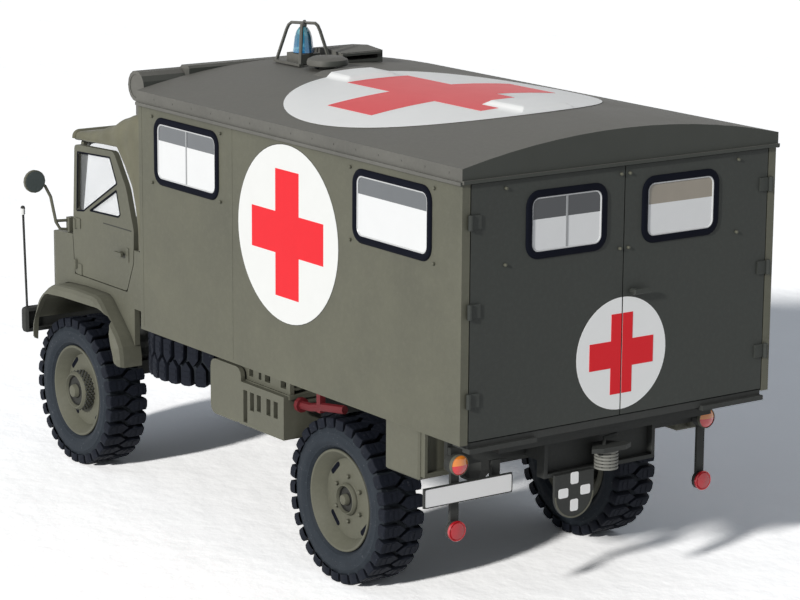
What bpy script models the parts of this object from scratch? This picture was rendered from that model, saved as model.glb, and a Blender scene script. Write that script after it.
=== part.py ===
"""1:35 scale model of a four-wheel-drive military ambulance truck.

Units are metres at the model's own size. +X is forward, +Y is left, +Z is up.
The ground is at z = 0. Lengths along X are measured from the rear axle, and
at() moves them so that the finished model is centred on x = 0.
"""
import bmesh
import bpy
from math import atan2, cos, hypot, pi, radians, sin, sqrt, tan
from mathutils import Matrix, Vector

# Gaps between pieces
GAP = 0.0001            # glued or seated pieces
RUN = 0.0002            # pieces that move past each other

# Wheels and axles
WHEELBASE = 0.0829
WHEEL_Y = 0.0230        # middle of each tyre from the centre line
TYRE_RADIUS = 0.01314
TYRE_WIDTH = 0.0077
TREAD_DEPTH = 0.0008
LUG_COUNT = 22          # in each of the two rows
LUG_TAPER = 0.82        # top of a lug, as a share of its foot
BEAD_RADIUS = 0.0076
RIM_RADIUS = 0.0081     # edge of the flange
RIM_WIDTH = 0.0064
FLANGE_SHARE = 0.84     # inner face of the flanges, as a share of the half width
HUB_DROP = 0.0026       # axle tube above the wheel centre
KINGPIN_Y = 0.0200

# Ambulance body
BODY_REAR = -0.0357
BODY_FRONT = 0.0539
BODY_HALF = 0.02966
BODY_BOTTOM = 0.0305
BODY_EAVE = 0.0686
WALL = 0.0010
FASCIA_TOP = 0.0708
ROOF_CROWN = 0.0741
POST_WIDTH = 0.0014

# Windows of the ambulance body: outer size of the rubber, and its centres
WINDOW_WIDTH = 0.0197
WINDOW_HEIGHT = 0.0110
WINDOW_Z = 0.0616
WINDOW_FRONT_X = 0.0388
WINDOW_REAR_X = -0.0186
WINDOW_CORNER = 0.0022
REAR_WINDOW_WIDTH = 0.0148
REAR_WINDOW_HEIGHT = 0.0099
REAR_WINDOW_Y = 0.0108
REAR_WINDOW_Z = 0.0614
RUBBER = 0.0005         # rubber that laps over the wall round each pane
PANE = 0.0008

# Rear doors
REAR_DOOR_BOTTOM = 0.0309
REAR_HINGE_OUT = 0.0004
REAR_HINGE_RADIUS = 0.00035

# Cab
CAB_REAR = 0.0548
CAB_HALF = 0.0266
CAB_SKIN = 0.0010
CAB_FLOOR = 0.0340
CAB_WAIST = 0.0423
COWL_X = 0.0845
COWL_Z = 0.0416
NOSE_X = 0.0929
NOSE_BOTTOM = 0.0257
WINDSCREEN_TOP_X = 0.0812
WINDSCREEN_TOP_Z = 0.0589
WINDSCREEN_HALF = 0.0252
DOOR_HINGE_X = 0.0817
DOOR_BOTTOM = 0.0348
DOOR_TOP = 0.0583
CANVAS_SKIN = 0.0007
DOOR_SLIT = 0.0005      # open slit between door and canvas
PANE_SEAT = 0.0004      # depth of the seat for the door's pane

# Fenders
FENDER_OUT = 0.0303
FENDER_IN = 0.0171
FENDER_SKIN = 0.0008
FENDER_LIP = 0.0010
FENDER_ROUND = 0.0016   # radius of the outer edge

# Frame
RAIL_Y = 0.0095
RAIL_WIDTH = 0.0014
RAIL_DEPTH = 0.0034
RAIL_FRONT_Z = 0.0235
RAIL_MIDDLE_Z = 0.0194
RAIL_REAR_Z = 0.0256
FRAME_FRONT = 0.0949
FRAME_REAR = -0.0296
REAR_BEAM_HALF = 0.0107
REAR_BEAM_BOTTOM = 0.0216
COUPLING_Z = 0.0242

# Bumper
BUMPER_REAR = 0.0950
BUMPER_FRONT = 0.0969
BUMPER_HALF = 0.0297
BUMPER_BOTTOM = 0.0216
BUMPER_TOP = 0.0264

# Spare wheel, lying flat under the front of the body
SPARE_X = 0.0508
SPARE_Y = 0.0149
SPARE_BOTTOM = 0.0219

# Lamps and plates at the rear
LAMP_X = -0.0272
LAMP_BAR_X = -0.0262
LAMP_Y = 0.0240
LAMP_Z = 0.0251
LAMP_RADIUS = 0.00155
REFLECTOR_Z = 0.0149

# Centre of the whole length, so that the model stands over its own middle
HANDLE_OUT = 0.0013
REAR_AXLE_X = -(BUMPER_FRONT + BODY_REAR - HANDLE_OUT) / 2

PARTS = None
MATERIALS = {}


def at(x, y, z):
    """A point given from the rear axle, in the model's own frame."""
    return Vector((x + REAR_AXLE_X, y, z))


def clear_scene():
    for item in list(bpy.data.objects):
        bpy.data.objects.remove(item, do_unlink=True)


def material(name, colour, roughness, metallic=0.0, alpha=1.0):
    made = bpy.data.materials.new(name)
    made.use_nodes = True
    shader = made.node_tree.nodes["Principled BSDF"]
    shader.inputs["Base Color"].default_value = (*colour, 1.0)
    shader.inputs["Roughness"].default_value = roughness
    shader.inputs["Metallic"].default_value = metallic
    shader.inputs["Alpha"].default_value = alpha
    MATERIALS[name] = made


def make_materials():
    material("olive_paint", (0.150, 0.150, 0.115), 0.75)
    material("canvas", (0.190, 0.185, 0.125), 0.95)
    material("tyre_black", (0.022, 0.026, 0.036), 0.85)
    material("frosted_pane", (0.85, 0.87, 0.88), 0.35)
    material("clear_pane", (0.55, 0.60, 0.62), 0.08, alpha=0.4)
    material("red_paint", (0.55, 0.03, 0.03), 0.5)
    material("lamp_red", (0.60, 0.02, 0.02), 0.25)
    material("beacon_blue", (0.02, 0.25, 0.50), 0.12, alpha=0.8)
    material("plate_white", (0.85, 0.85, 0.85), 0.5)
    material("seat_black", (0.03, 0.03, 0.03), 0.8)


# Building blocks

def wrap(name, bm):
    """Turn a bmesh into a plain object with outward faces."""
    bmesh.ops.recalc_face_normals(bm, faces=bm.faces)
    if bm.calc_volume(signed=True) < 0:
        bmesh.ops.reverse_faces(bm, faces=bm.faces)
    mesh = bpy.data.meshes.new(name)
    bm.to_mesh(mesh)
    bm.free()
    made = bpy.data.objects.new(name, mesh)
    PARTS.objects.link(made)
    return made


def settle(item):
    """Apply an object's modifiers and its transform to its mesh."""
    bpy.context.view_layer.update()
    graph = bpy.context.evaluated_depsgraph_get()
    mesh = bpy.data.meshes.new_from_object(item.evaluated_get(graph))
    mesh.transform(item.matrix_world)
    item.modifiers.clear()
    item.data = mesh
    item.matrix_world = Matrix.Identity(4)
    return item


def bevelled(item, width, segments=1, angle=40):
    modifier = item.modifiers.new("Edges", "BEVEL")
    modifier.width = width
    modifier.segments = segments
    modifier.limit_method = "ANGLE"
    modifier.angle_limit = radians(angle)
    return settle(item)


def boolean(target, tool, operation):
    modifier = target.modifiers.new(operation, "BOOLEAN")
    modifier.operation = operation
    modifier.solver = "EXACT"
    modifier.object = tool
    settle(target)
    bpy.data.objects.remove(tool, do_unlink=True)
    return target


def union(pieces):
    base = pieces[0]
    for piece in pieces[1:]:
        boolean(base, piece, "UNION")
    return base


def cut(target, *tools):
    for tool in tools:
        boolean(target, tool, "DIFFERENCE")
    return target


def box(x0, x1, y0, y1, z0, z1, bevel=0.0, segments=1):
    bm = bmesh.new()
    bmesh.ops.create_cube(bm, size=1.0)
    bmesh.ops.scale(bm, vec=(x1 - x0, y1 - y0, z1 - z0), verts=bm.verts)
    middle = at((x0 + x1) / 2, (y0 + y1) / 2, (z0 + z1) / 2)
    bmesh.ops.translate(bm, vec=middle, verts=bm.verts)
    made = wrap("box", bm)
    return bevelled(made, bevel, segments) if bevel else made


TURNS = {
    "X": Matrix.Rotation(pi / 2, 4, "Y"),
    "Y": Matrix.Rotation(-pi / 2, 4, "X"),
    "Z": Matrix.Identity(4),
}


def cylinder(centre, radius, length, axis="Z", sides=16, top=None):
    """A cylinder, or a cone with another radius at its far end."""
    bm = bmesh.new()
    bmesh.ops.create_cone(bm, cap_ends=True, segments=sides, radius1=radius,
                          radius2=radius if top is None else top, depth=length)
    bmesh.ops.transform(bm, matrix=Matrix.Translation(centre) @ TURNS[axis], verts=bm.verts)
    return wrap("cylinder", bm)


def ball(centre, radius, sides=12):
    bm = bmesh.new()
    bmesh.ops.create_uvsphere(bm, u_segments=sides, v_segments=sides // 2, radius=radius)
    bmesh.ops.translate(bm, vec=centre, verts=bm.verts)
    return wrap("ball", bm)


def turned(profile, centre, axis="Z", sides=24, closed=False):
    """Turn a profile of (radius, height) round an axis.

    An open profile starts and ends on the axis. A closed one is a ring.
    """
    bm = bmesh.new()
    points = [bm.verts.new((radius, 0, height)) for radius, height in profile]
    for first, second in zip(points, points[1:]):
        bm.edges.new((first, second))
    if closed:
        bm.edges.new((points[-1], points[0]))
    mesh = bpy.data.meshes.new("profile")
    bm.to_mesh(mesh)
    bm.free()
    made = bpy.data.objects.new("turned", mesh)
    PARTS.objects.link(made)
    screw = made.modifiers.new("Turn", "SCREW")
    screw.steps = sides
    screw.render_steps = sides
    screw.use_merge_vertices = True
    screw.merge_threshold = 0.000001
    settle(made)
    bm = bmesh.new()
    bm.from_mesh(made.data)
    bmesh.ops.remove_doubles(bm, verts=bm.verts, dist=0.000001)
    bmesh.ops.transform(bm, matrix=Matrix.Translation(centre) @ TURNS[axis], verts=bm.verts)
    bpy.data.objects.remove(made, do_unlink=True)
    return wrap("turned", bm)


def rounded(corners, steps=3):
    """Points of an outline whose (u, v, radius) corners are rounded by arcs."""
    points = []
    count = len(corners)
    for index, (u, v, radius) in enumerate(corners):
        corner = Vector((u, v))
        if radius <= 0:
            points.append(corner)
            continue
        before = (Vector(corners[index - 1][:2]) - corner).normalized()
        after = (Vector(corners[(index + 1) % count][:2]) - corner).normalized()
        half = before.angle(after) / 2
        reach = radius / tan(half)
        centre = corner + (before + after).normalized() * (radius / sin(half))
        start = corner + before * reach - centre
        end = corner + after * reach - centre
        turn = start.angle_signed(end)
        for step in range(steps + 1):
            spun = start.copy()
            spun.rotate(Matrix.Rotation(-turn * step / steps, 2))
            points.append(centre + spun)
    return [(point.x, point.y) for point in points]


def inset(corners, distance):
    """Move every side of a closed outline inwards, keeping its corner radii."""
    moved = []
    count = len(corners)
    area = sum(corners[i][0] * corners[(i + 1) % count][1]
               - corners[(i + 1) % count][0] * corners[i][1] for i in range(count))
    inward = 1 if area > 0 else -1
    for index in range(count):
        before = Vector(corners[index - 1][:2])
        here = Vector(corners[index][:2])
        after = Vector(corners[(index + 1) % count][:2])
        side_in = (here - before).normalized()
        side_out = (after - here).normalized()
        normal_in = Vector((-side_in.y, side_in.x)) * inward
        normal_out = Vector((-side_out.y, side_out.x)) * inward
        mitre = (normal_in + normal_out) / (1 + normal_in.dot(normal_out))
        point = here + mitre * distance
        moved.append((point.x, point.y, corners[index][2]))
    return moved


def prism(outline, plane, low, high):
    """Extrude a flat outline: XZ along Y, YZ along X, or XY along Z."""
    place = {
        "XZ": lambda u, v, w: at(u, w, v),
        "YZ": lambda u, v, w: at(w, u, v),
        "XY": lambda u, v, w: at(u, v, w),
    }[plane]
    bm = bmesh.new()
    face = bm.faces.new([bm.verts.new(place(u, v, low)) for u, v in outline])
    grown = bmesh.ops.extrude_face_region(bm, geom=[face])
    moved = [item for item in grown["geom"] if isinstance(item, bmesh.types.BMVert)]
    bmesh.ops.translate(bm, verts=moved, vec=place(0, 0, high) - place(0, 0, low))
    return wrap("prism", bm)


def rounded_rectangle(u, v, width, height, radius):
    """Corners of a rectangle centred on (u, v)."""
    return [(u + a * width / 2, v + b * height / 2, radius)
            for a, b in ((-1, -1), (1, -1), (1, 1), (-1, 1))]


def rod(points, radius, sides=8):
    """A round bar along a list of points, as one closed mesh."""
    curve = bpy.data.curves.new("rod", "CURVE")
    curve.dimensions = "3D"
    curve.bevel_depth = radius
    curve.bevel_resolution = max(0, (sides - 4) // 2)
    curve.use_fill_caps = True
    spline = curve.splines.new("POLY")
    spline.points.add(len(points) - 1)
    for point, place in zip(spline.points, points):
        point.co = (*place, 1.0)
    source = bpy.data.objects.new("rod", curve)
    PARTS.objects.link(source)
    bpy.context.view_layer.update()
    graph = bpy.context.evaluated_depsgraph_get()
    mesh = bpy.data.meshes.new_from_object(source.evaluated_get(graph))
    bm = bmesh.new()
    bm.from_mesh(mesh)
    bmesh.ops.remove_doubles(bm, verts=bm.verts, dist=0.000002)
    bpy.data.objects.remove(source, do_unlink=True)
    return wrap("rod", bm)


def finish(item, name, paint, smooth_angle=35):
    """Name a finished piece, paint it and shade its round faces smooth."""
    item.name = name
    item.data.name = name
    item.data.materials.clear()
    item.data.materials.append(MATERIALS[paint])
    item.data.shade_smooth()
    item.data.set_sharp_from_angle(angle=radians(smooth_angle))
    return item


def mirrored(item):
    """The same piece on the other side of the centre line."""
    bm = bmesh.new()
    bm.from_mesh(item.data)
    bmesh.ops.scale(bm, vec=(1, -1, 1), verts=bm.verts)
    return wrap("mirrored", bm)


# Wheels

def raise_lugs(item, root):
    """Raise every other face of the tread, staggered from one row to the other."""
    bm = bmesh.new()
    bm.from_mesh(item.data)
    pitch = pi / LUG_COUNT
    feet = []
    for face in bm.faces:
        if any(hypot(vert.co.x, vert.co.y) < root - 0.00001 for vert in face.verts):
            continue
        middle = face.calc_center_median()
        step = int(atan2(middle.y, middle.x) % (2 * pi) / pitch)
        if step % 2 == (middle.z > 0):
            feet.append(face)
    for top in bmesh.ops.extrude_discrete_faces(bm, faces=feet)["faces"]:
        middle = top.calc_center_median()
        for vert in top.verts:
            vert.co = middle + (vert.co - middle) * LUG_TAPER
            stretch = TYRE_RADIUS / hypot(vert.co.x, vert.co.y)
            vert.co.x *= stretch
            vert.co.y *= stretch
    bmesh.ops.recalc_face_normals(bm, faces=bm.faces)
    bm.to_mesh(item.data)
    bm.free()


def tyre(centre, axis):
    """A ring with lugs, whose bead sits between the rim's flanges."""
    half = TYRE_WIDTH / 2
    root = TYRE_RADIUS - TREAD_DEPTH
    seat = RIM_WIDTH / 2 * FLANGE_SHARE - GAP
    side = [
        (BEAD_RADIUS, seat),
        (RIM_RADIUS + RUN, seat),
        (RIM_RADIUS + 0.0015, half),
        (root, half * 0.90),
    ]
    profile = [(radius, -height) for radius, height in side] + [(root, 0.0)] + side[::-1]
    made = turned(profile, Vector((0, 0, 0)), "Z", sides=2 * LUG_COUNT, closed=True)
    raise_lugs(made, root)
    made.matrix_world = Matrix.Translation(centre) @ TURNS[axis]
    return settle(made)


HUB_RADIUS = 0.0034
SLOT_RADIUS = 0.0057
SLOT_LENGTH = 0.0028
SLOT_WIDTH = 0.0008


def rim(centre, axis, outward, driven):
    """A dished disc with four slots in a wide barrel. Outward is +1 or -1."""
    half = RIM_WIDTH / 2
    barrel = RIM_RADIUS - 0.0006
    face = half + (0.0005 if driven else -0.0010)
    hub = HUB_RADIUS if driven else HUB_RADIUS * 0.75
    profile = [
        (0.0, face + 0.0002),
        (hub * 0.32, face + 0.0002),
        (hub * 0.36, face - 0.0007),
        (hub * 0.76, face - 0.0007),
        (hub * 0.86, face),
        (hub, face - 0.0005),
        (hub, half * 0.42),
        (0.0062, half * 0.32),
        (barrel - 0.0007, half * 0.60),
        (RIM_RADIUS - 0.0003, half),
        (RIM_RADIUS, half * 0.93),
        (barrel, half * FLANGE_SHARE),
        (barrel, -half * FLANGE_SHARE),
        (RIM_RADIUS, -half * 0.93),
        (RIM_RADIUS - 0.0003, -half),
        (barrel - 0.0007, -half * 0.90),
        (barrel - 0.0007, half * 0.10),
        (0.0, half * 0.02),
    ]
    profile = [(radius, height * outward) for radius, height in profile]
    made = turned(profile, centre, axis, sides=14)
    for quarter in range(4):
        angle = (quarter + 0.5) * pi / 2
        slot = box(-SLOT_LENGTH / 2, SLOT_LENGTH / 2, -SLOT_WIDTH / 2, SLOT_WIDTH / 2,
                   -half, half)
        slot.location = -at(0, 0, 0)
        settle(slot)
        spot = Matrix.Rotation(angle, 4, "Z") @ Matrix.Translation((0, SLOT_RADIUS, 0))
        flip = Matrix.Identity(4) if outward > 0 else Matrix.Rotation(pi, 4, "X")
        slot.matrix_world = Matrix.Translation(centre) @ TURNS[axis] @ flip @ spot
        settle(slot)
        cut(made, slot)
    return made


def wheel(name, x, side, driven):
    centre = at(x, side * WHEEL_Y, TYRE_RADIUS)
    finish(tyre(centre, "Y"), "tyre_" + name, "tyre_black")
    finish(rim(centre, "Y", side, driven), "rim_" + name, "olive_paint")


def make_wheels():
    # name, distance from the rear axle, side, projecting hub
    for name, x, side, driven in (("front_left", WHEELBASE, 1, True),
                                  ("front_right", WHEELBASE, -1, True),
                                  ("rear_left", 0.0, 1, False),
                                  ("rear_right", 0.0, -1, False)):
        wheel(name, x, side, driven)
    centre = at(SPARE_X, SPARE_Y, SPARE_BOTTOM + TYRE_WIDTH / 2)
    finish(tyre(centre, "Z"), "spare_tyre", "tyre_black")
    finish(rim(centre, "Z", 1, False), "spare_rim", "olive_paint")


# Axles

SPRING_Y = 0.0128
SPRING_RADIUS = 0.0018
SPRING_TURNS = 3
AXLE_TUBE = 0.0015
DIFFERENTIAL = 0.0034
AXLE_END = KINGPIN_Y - 0.0012
TORQUE_TUBE = 0.0012
DRUM_RADIUS = 0.0046
DRUM_END = WHEEL_Y - RUN


def spring(x, side, low, high):
    """A coil spring, drawn as stacked rounded turns."""
    pitch = (high - low) / SPRING_TURNS
    profile = [(0.0, high)]
    for turn in range(SPRING_TURNS):
        top = high - turn * pitch
        profile.append((SPRING_RADIUS * 0.78, top))
        profile.append((SPRING_RADIUS, top - pitch / 2))
    profile.append((SPRING_RADIUS * 0.78, low))
    profile.append((0.0, low))
    return turned(profile, at(x, side * SPRING_Y, 0), sides=6)


def axle_beam(x, seat_z, spring_top):
    """Tube, differential, spring seats, coil springs and dampers."""
    height = TYRE_RADIUS + HUB_DROP
    pieces = [
        cylinder(at(x, 0, height), AXLE_TUBE, 2 * AXLE_END, "Y", 10),
        ball(at(x, 0, height), DIFFERENTIAL, 10),
        cylinder(at(x, 0, height), DIFFERENTIAL + 0.0003, 0.0009, "X", 14),
    ]
    for side in (1, -1):
        pieces.append(box(x - 0.0022, x + 0.0022, side * SPRING_Y - 0.0020,
                          side * SPRING_Y + 0.0020, height - 0.0008, seat_z))
        pieces.append(spring(x, side, seat_z - 0.0002, spring_top))
    return pieces


def make_axles():
    height = TYRE_RADIUS + HUB_DROP
    seat = height + 0.0016
    front = axle_beam(WHEELBASE, seat, RAIL_FRONT_Z + 0.0006)
    front.append(rod([at(WHEELBASE - 0.0020, 0, height),
                      at(GEARBOX_FRONT + GAP, 0, height + 0.0004)], TORQUE_TUBE))
    for side in (1, -1):
        for z in (height + 0.0033, height - 0.0033):
            low = min(side * (AXLE_END - 0.0012), side * KINGPIN_Y)
            high = max(side * (AXLE_END - 0.0012), side * KINGPIN_Y)
            front.append(box(WHEELBASE - 0.0010, WHEELBASE + 0.0010, low, high,
                             z - 0.0004, z + 0.0004))
            front.append(cylinder(at(WHEELBASE, side * KINGPIN_Y, z), 0.0010, 0.0008, sides=8))
        low = min(side * (AXLE_END - 0.0012), side * (AXLE_END - 0.0002))
        high = max(side * (AXLE_END - 0.0012), side * (AXLE_END - 0.0002))
        front.append(box(WHEELBASE - 0.0010, WHEELBASE + 0.0010, low, high,
                         height - 0.0037, height + 0.0037))
    finish(union(front), "front_axle", "olive_paint")

    rear = axle_beam(0.0, seat, RAIL_REAR_Z + 0.0006)
    rear.append(rod([at(0.0020, 0, height),
                     at(GEARBOX_FRONT - GEARBOX_LENGTH - GAP, 0, height + 0.0008)],
                    TORQUE_TUBE))
    for side in (1, -1):
        low = AXLE_END + 0.0002
        rear.append(cylinder(at(0, side * AXLE_END, height - HUB_DROP / 2), 0.0038, 0.0024,
                             "Y", 10))
        rear.append(cylinder(at(0, side * (low + DRUM_END) / 2, TYRE_RADIUS), DRUM_RADIUS,
                             DRUM_END - low, "Y", 12))
    finish(union(rear), "rear_axle", "olive_paint")


def make_knuckles():
    """Portal hub housings that turn on the kingpins and carry the front wheels."""
    height = TYRE_RADIUS + HUB_DROP
    inner = KINGPIN_Y + 0.0012
    outer = DRUM_END
    pieces = [
        cylinder(at(WHEELBASE, KINGPIN_Y, height), 0.0010, 2 * (0.0029 - RUN), sides=8),
        box(WHEELBASE - 0.0008, WHEELBASE + 0.0008, KINGPIN_Y, inner + 0.0004,
            height - 0.0016, height + 0.0016),
        cylinder(at(WHEELBASE, (inner + outer) / 2, TYRE_RADIUS), DRUM_RADIUS,
                 outer - inner, "Y", 12),
    ]
    left = union(pieces)
    right = mirrored(left)
    finish(left, "knuckle_left", "olive_paint")
    finish(right, "knuckle_right", "olive_paint")


# Frame, engine and driveline

ENGINE_FRONT = 0.0905
ENGINE_REAR = 0.0735
ENGINE_HALF = 0.0070
GEARBOX_FRONT = 0.0745
GEARBOX_LENGTH = 0.0170
CROSSMEMBER_X = (-0.0230, 0.0085, 0.0255, 0.0550, 0.0925)


def rail_outline():
    half = RAIL_DEPTH / 2
    middle = [
        (FRAME_FRONT, RAIL_FRONT_Z),
        (0.0690, RAIL_FRONT_Z),
        (0.0642, RAIL_MIDDLE_Z),
        (0.0345, RAIL_MIDDLE_Z),
        (0.0280, RAIL_REAR_Z),
        (FRAME_REAR, RAIL_REAR_Z),
    ]
    top = [(x, z + half) for x, z in middle]
    bottom = [(x, z - half) for x, z in reversed(middle)]
    return top + bottom


def rail_height(x):
    """Middle height of the rails at a place along the frame."""
    if x > 0.0690:
        return RAIL_FRONT_Z
    if x > 0.0345:
        return RAIL_MIDDLE_Z
    return RAIL_REAR_Z


def make_frame():
    pieces = []
    for side in (1, -1):
        pieces.append(prism(rail_outline(), "XZ", side * RAIL_Y - RAIL_WIDTH / 2,
                            side * RAIL_Y + RAIL_WIDTH / 2))
    for x in CROSSMEMBER_X:
        pieces.append(cylinder(at(x, 0, rail_height(x)), 0.0012, 2 * RAIL_Y, "Y", 8))
    # Rear crossmember: a channel that is open to the rear
    top = RAIL_REAR_Z + RAIL_DEPTH / 2
    pieces.append(box(FRAME_REAR - 0.0006, FRAME_REAR, -REAR_BEAM_HALF, REAR_BEAM_HALF,
                      REAR_BEAM_BOTTOM + 0.0002, top))
    pieces.append(box(FRAME_REAR - 0.0018, FRAME_REAR, -REAR_BEAM_HALF, REAR_BEAM_HALF,
                      REAR_BEAM_BOTTOM, REAR_BEAM_BOTTOM + 0.0006))
    for side in (1, -1):
        low, high = sorted((side * (REAR_BEAM_HALF - 0.0006), side * REAR_BEAM_HALF))
        pieces.append(box(FRAME_REAR - 0.0018, FRAME_REAR, low, high, REAR_BEAM_BOTTOM, top))
    # x of the axle, height of the bracket over the springs
    for x, z in ((WHEELBASE, RAIL_FRONT_Z), (0.0, RAIL_REAR_Z)):
        for side in (1, -1):
            low = min(side * RAIL_Y, side * (SPRING_Y + 0.0022))
            high = max(side * RAIL_Y, side * (SPRING_Y + 0.0022))
            pieces.append(box(x - 0.0022, x + 0.0022, low, high, z + 0.0006 + GAP,
                              z + 0.0014 + GAP))
    for side in (1, -1):
        low = min(side * 0.0100, side * (LAMP_Y + 0.0008))
        high = max(side * 0.0100, side * (LAMP_Y + 0.0008))
        pieces.append(box(LAMP_BAR_X, LAMP_BAR_X + 0.0008, low, high, 0.0243, 0.0283))
    # Tow coupling: shank, flared guide plate, ribbed drum and lever
    x, z = FRAME_REAR - 0.0032, COUPLING_Z
    pieces.append(cylinder(at(FRAME_REAR - 0.0014, 0, z), 0.0009, 0.0030, "X", 8))
    guide = [(x + 0.0018, -0.0012), (x + 0.0018, 0.0012), (x - 0.0012, 0.0038),
             (x - 0.0020, 0.0022), (x - 0.0020, -0.0022), (x - 0.0012, -0.0038)]
    pieces.append(prism(guide, "XY", z + 0.0008, z + 0.0015))
    ribs = [(x + radius * cos(step * pi / 9), radius * sin(step * pi / 9))
            for step, radius in enumerate([0.0018, 0.0015] * 9)]
    pieces.append(prism(ribs, "XY", z - 0.0022, z + 0.0009))
    pieces.append(rod([at(x, 0.0005, z + 0.0010), at(x, 0.0004, z + 0.0026),
                       at(x, -0.0020, z + 0.0028)], 0.0003, 6))
    finish(union(pieces), "ladder_frame", "olive_paint")


def make_engine():
    """Engine and gearbox, one plain block bolted to the next."""
    low = TYRE_RADIUS + HUB_DROP + 0.0042
    engine = box(ENGINE_REAR, ENGINE_FRONT, -ENGINE_HALF, ENGINE_HALF, low, 0.0325, 0.0006)
    rear = GEARBOX_FRONT - GEARBOX_LENGTH
    gearbox = box(rear, GEARBOX_FRONT, -0.0042, 0.0042, 0.0140, 0.0212, 0.0008)
    bell = box(ENGINE_REAR - 0.0016, ENGINE_REAR + 0.0010, -0.0058, 0.0058, 0.0150, 0.0280,
               0.0006)
    finish(union([engine, gearbox, bell]), "engine_and_gearbox", "olive_paint")


# Body of the ambulance

def window_hole(u, v, width, height, plane, low, high):
    """A cutter for a window: the rubber's outer size less what laps the wall."""
    corners = rounded_rectangle(u, v, width - 2 * RUBBER, height - 2 * RUBBER,
                                WINDOW_CORNER - RUBBER)
    return prism(rounded(corners), plane, low, high)


def window_pane(u, v, width, height, plane, low, high):
    corners = rounded_rectangle(u, v, width - 2 * (RUBBER + GAP), height - 2 * (RUBBER + GAP),
                                WINDOW_CORNER - RUBBER - GAP)
    return prism(rounded(corners), plane, low, high)


SIDE_WINDOWS = (("front", WINDOW_FRONT_X), ("rear", WINDOW_REAR_X))


def make_side_walls():
    inner = BODY_HALF - WALL
    wall = box(BODY_REAR, BODY_FRONT, inner, BODY_HALF, BODY_BOTTOM, BODY_EAVE - GAP)
    post = box(BODY_REAR, BODY_REAR + WALL + GAP, BODY_HALF - POST_WIDTH, BODY_HALF - 0.0002,
               BODY_BOTTOM, BODY_EAVE - GAP)
    wall = union([wall, post])
    for name, x in SIDE_WINDOWS:
        cut(wall, window_hole(x, WINDOW_Z, WINDOW_WIDTH, WINDOW_HEIGHT, "XZ",
                              inner - 0.001, BODY_HALF + 0.001))
        middle = BODY_HALF - WALL / 2
        pane = window_pane(x, WINDOW_Z, WINDOW_WIDTH, WINDOW_HEIGHT, "XZ",
                           middle - PANE / 2, middle + PANE / 2)
        finish(mirrored(pane), "window_" + name + "_right", "frosted_pane")
        finish(pane, "window_" + name + "_left", "frosted_pane")
    finish(mirrored(wall), "wall_right", "olive_paint")
    finish(wall, "wall_left", "olive_paint")


BEARER_X = (-0.0330, -0.0085, 0.0080, 0.0262)
BEARER_HALF = 0.0205


def make_floor():
    half = BODY_HALF - WALL - GAP
    rear = BODY_REAR + WALL + RUN
    pieces = [box(rear, BODY_FRONT, -half, half, BODY_BOTTOM, BODY_BOTTOM + WALL)]
    rail_top = RAIL_REAR_Z + RAIL_DEPTH / 2
    for x in BEARER_X:
        pieces.append(box(x, x + 0.0020, -BEARER_HALF, BEARER_HALF, rail_top + GAP,
                          BODY_BOTTOM + 0.0002))
    # Sill under the rear doors, with its two steps
    sill = BODY_HALF - POST_WIDTH - GAP
    pieces.append(box(BODY_REAR + RUN, BEARER_X[0] + 0.0010, -sill, sill,
                      BODY_BOTTOM - 0.0009, REAR_DOOR_BOTTOM - RUN))
    for side in (1, -1):
        low, high = sorted((side * 0.0160, side * (BODY_HALF - 0.0014)))
        pieces.append(box(BODY_REAR - 0.0005, BODY_REAR + 0.0012, low, high,
                          BODY_BOTTOM - 0.0013, BODY_BOTTOM - 0.0006))
    finish(union(pieces), "body_floor", "olive_paint")


def make_front_wall():
    half = BODY_HALF - WALL - GAP
    wall = box(BODY_FRONT - WALL, BODY_FRONT, -half, half, BODY_BOTTOM + WALL + GAP,
               BODY_EAVE - GAP)
    finish(wall, "wall_front", "olive_paint")


def roof_arc(half, eave, crown, steps=14):
    """Points of the roof's arc from one side to the other."""
    rise = crown - eave
    radius = (half * half + rise * rise) / (2 * rise)
    reach = atan2(half, radius - rise)
    return [(radius * sin(reach * (1 - 2 * step / steps)),
             crown - radius + radius * cos(reach * (1 - 2 * step / steps)))
            for step in range(steps + 1)]


ROOF_OUT = BODY_HALF + 0.0002
ROOF_END = 0.0002


def make_roof():
    outer = [(-ROOF_OUT, BODY_EAVE), (ROOF_OUT, BODY_EAVE)]
    outer += roof_arc(ROOF_OUT, FASCIA_TOP, ROOF_CROWN)
    shell = prism(outer, "YZ", BODY_REAR - ROOF_END, BODY_FRONT + ROOF_END)
    inside = ROOF_OUT - WALL
    inner = [(-inside, BODY_EAVE - 0.001), (inside, BODY_EAVE - 0.001)]
    inner += roof_arc(inside, FASCIA_TOP - WALL, ROOF_CROWN - WALL)
    cut(shell, prism(inner, "YZ", BODY_REAR + WALL, BODY_FRONT - WALL))
    pieces = [shell]
    for side in (1, -1):
        low, high = sorted((side * (BODY_HALF + GAP), side * (BODY_HALF + 0.0005)))
        pieces.append(box(BODY_REAR - ROOF_END, BODY_FRONT + ROOF_END, low, high,
                          BODY_EAVE - 0.0002, BODY_EAVE + 0.0003))
    pieces.append(box(BODY_REAR - ROOF_END - 0.0004, BODY_REAR - 0.0001, -ROOF_OUT, ROOF_OUT,
                      BODY_EAVE, BODY_EAVE + 0.0005))
    finish(union(pieces), "body_roof", "olive_paint")


HINGE_Z = (0.0630, 0.0501, 0.0370)
HINGE_HEIGHT = 0.0022


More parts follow.
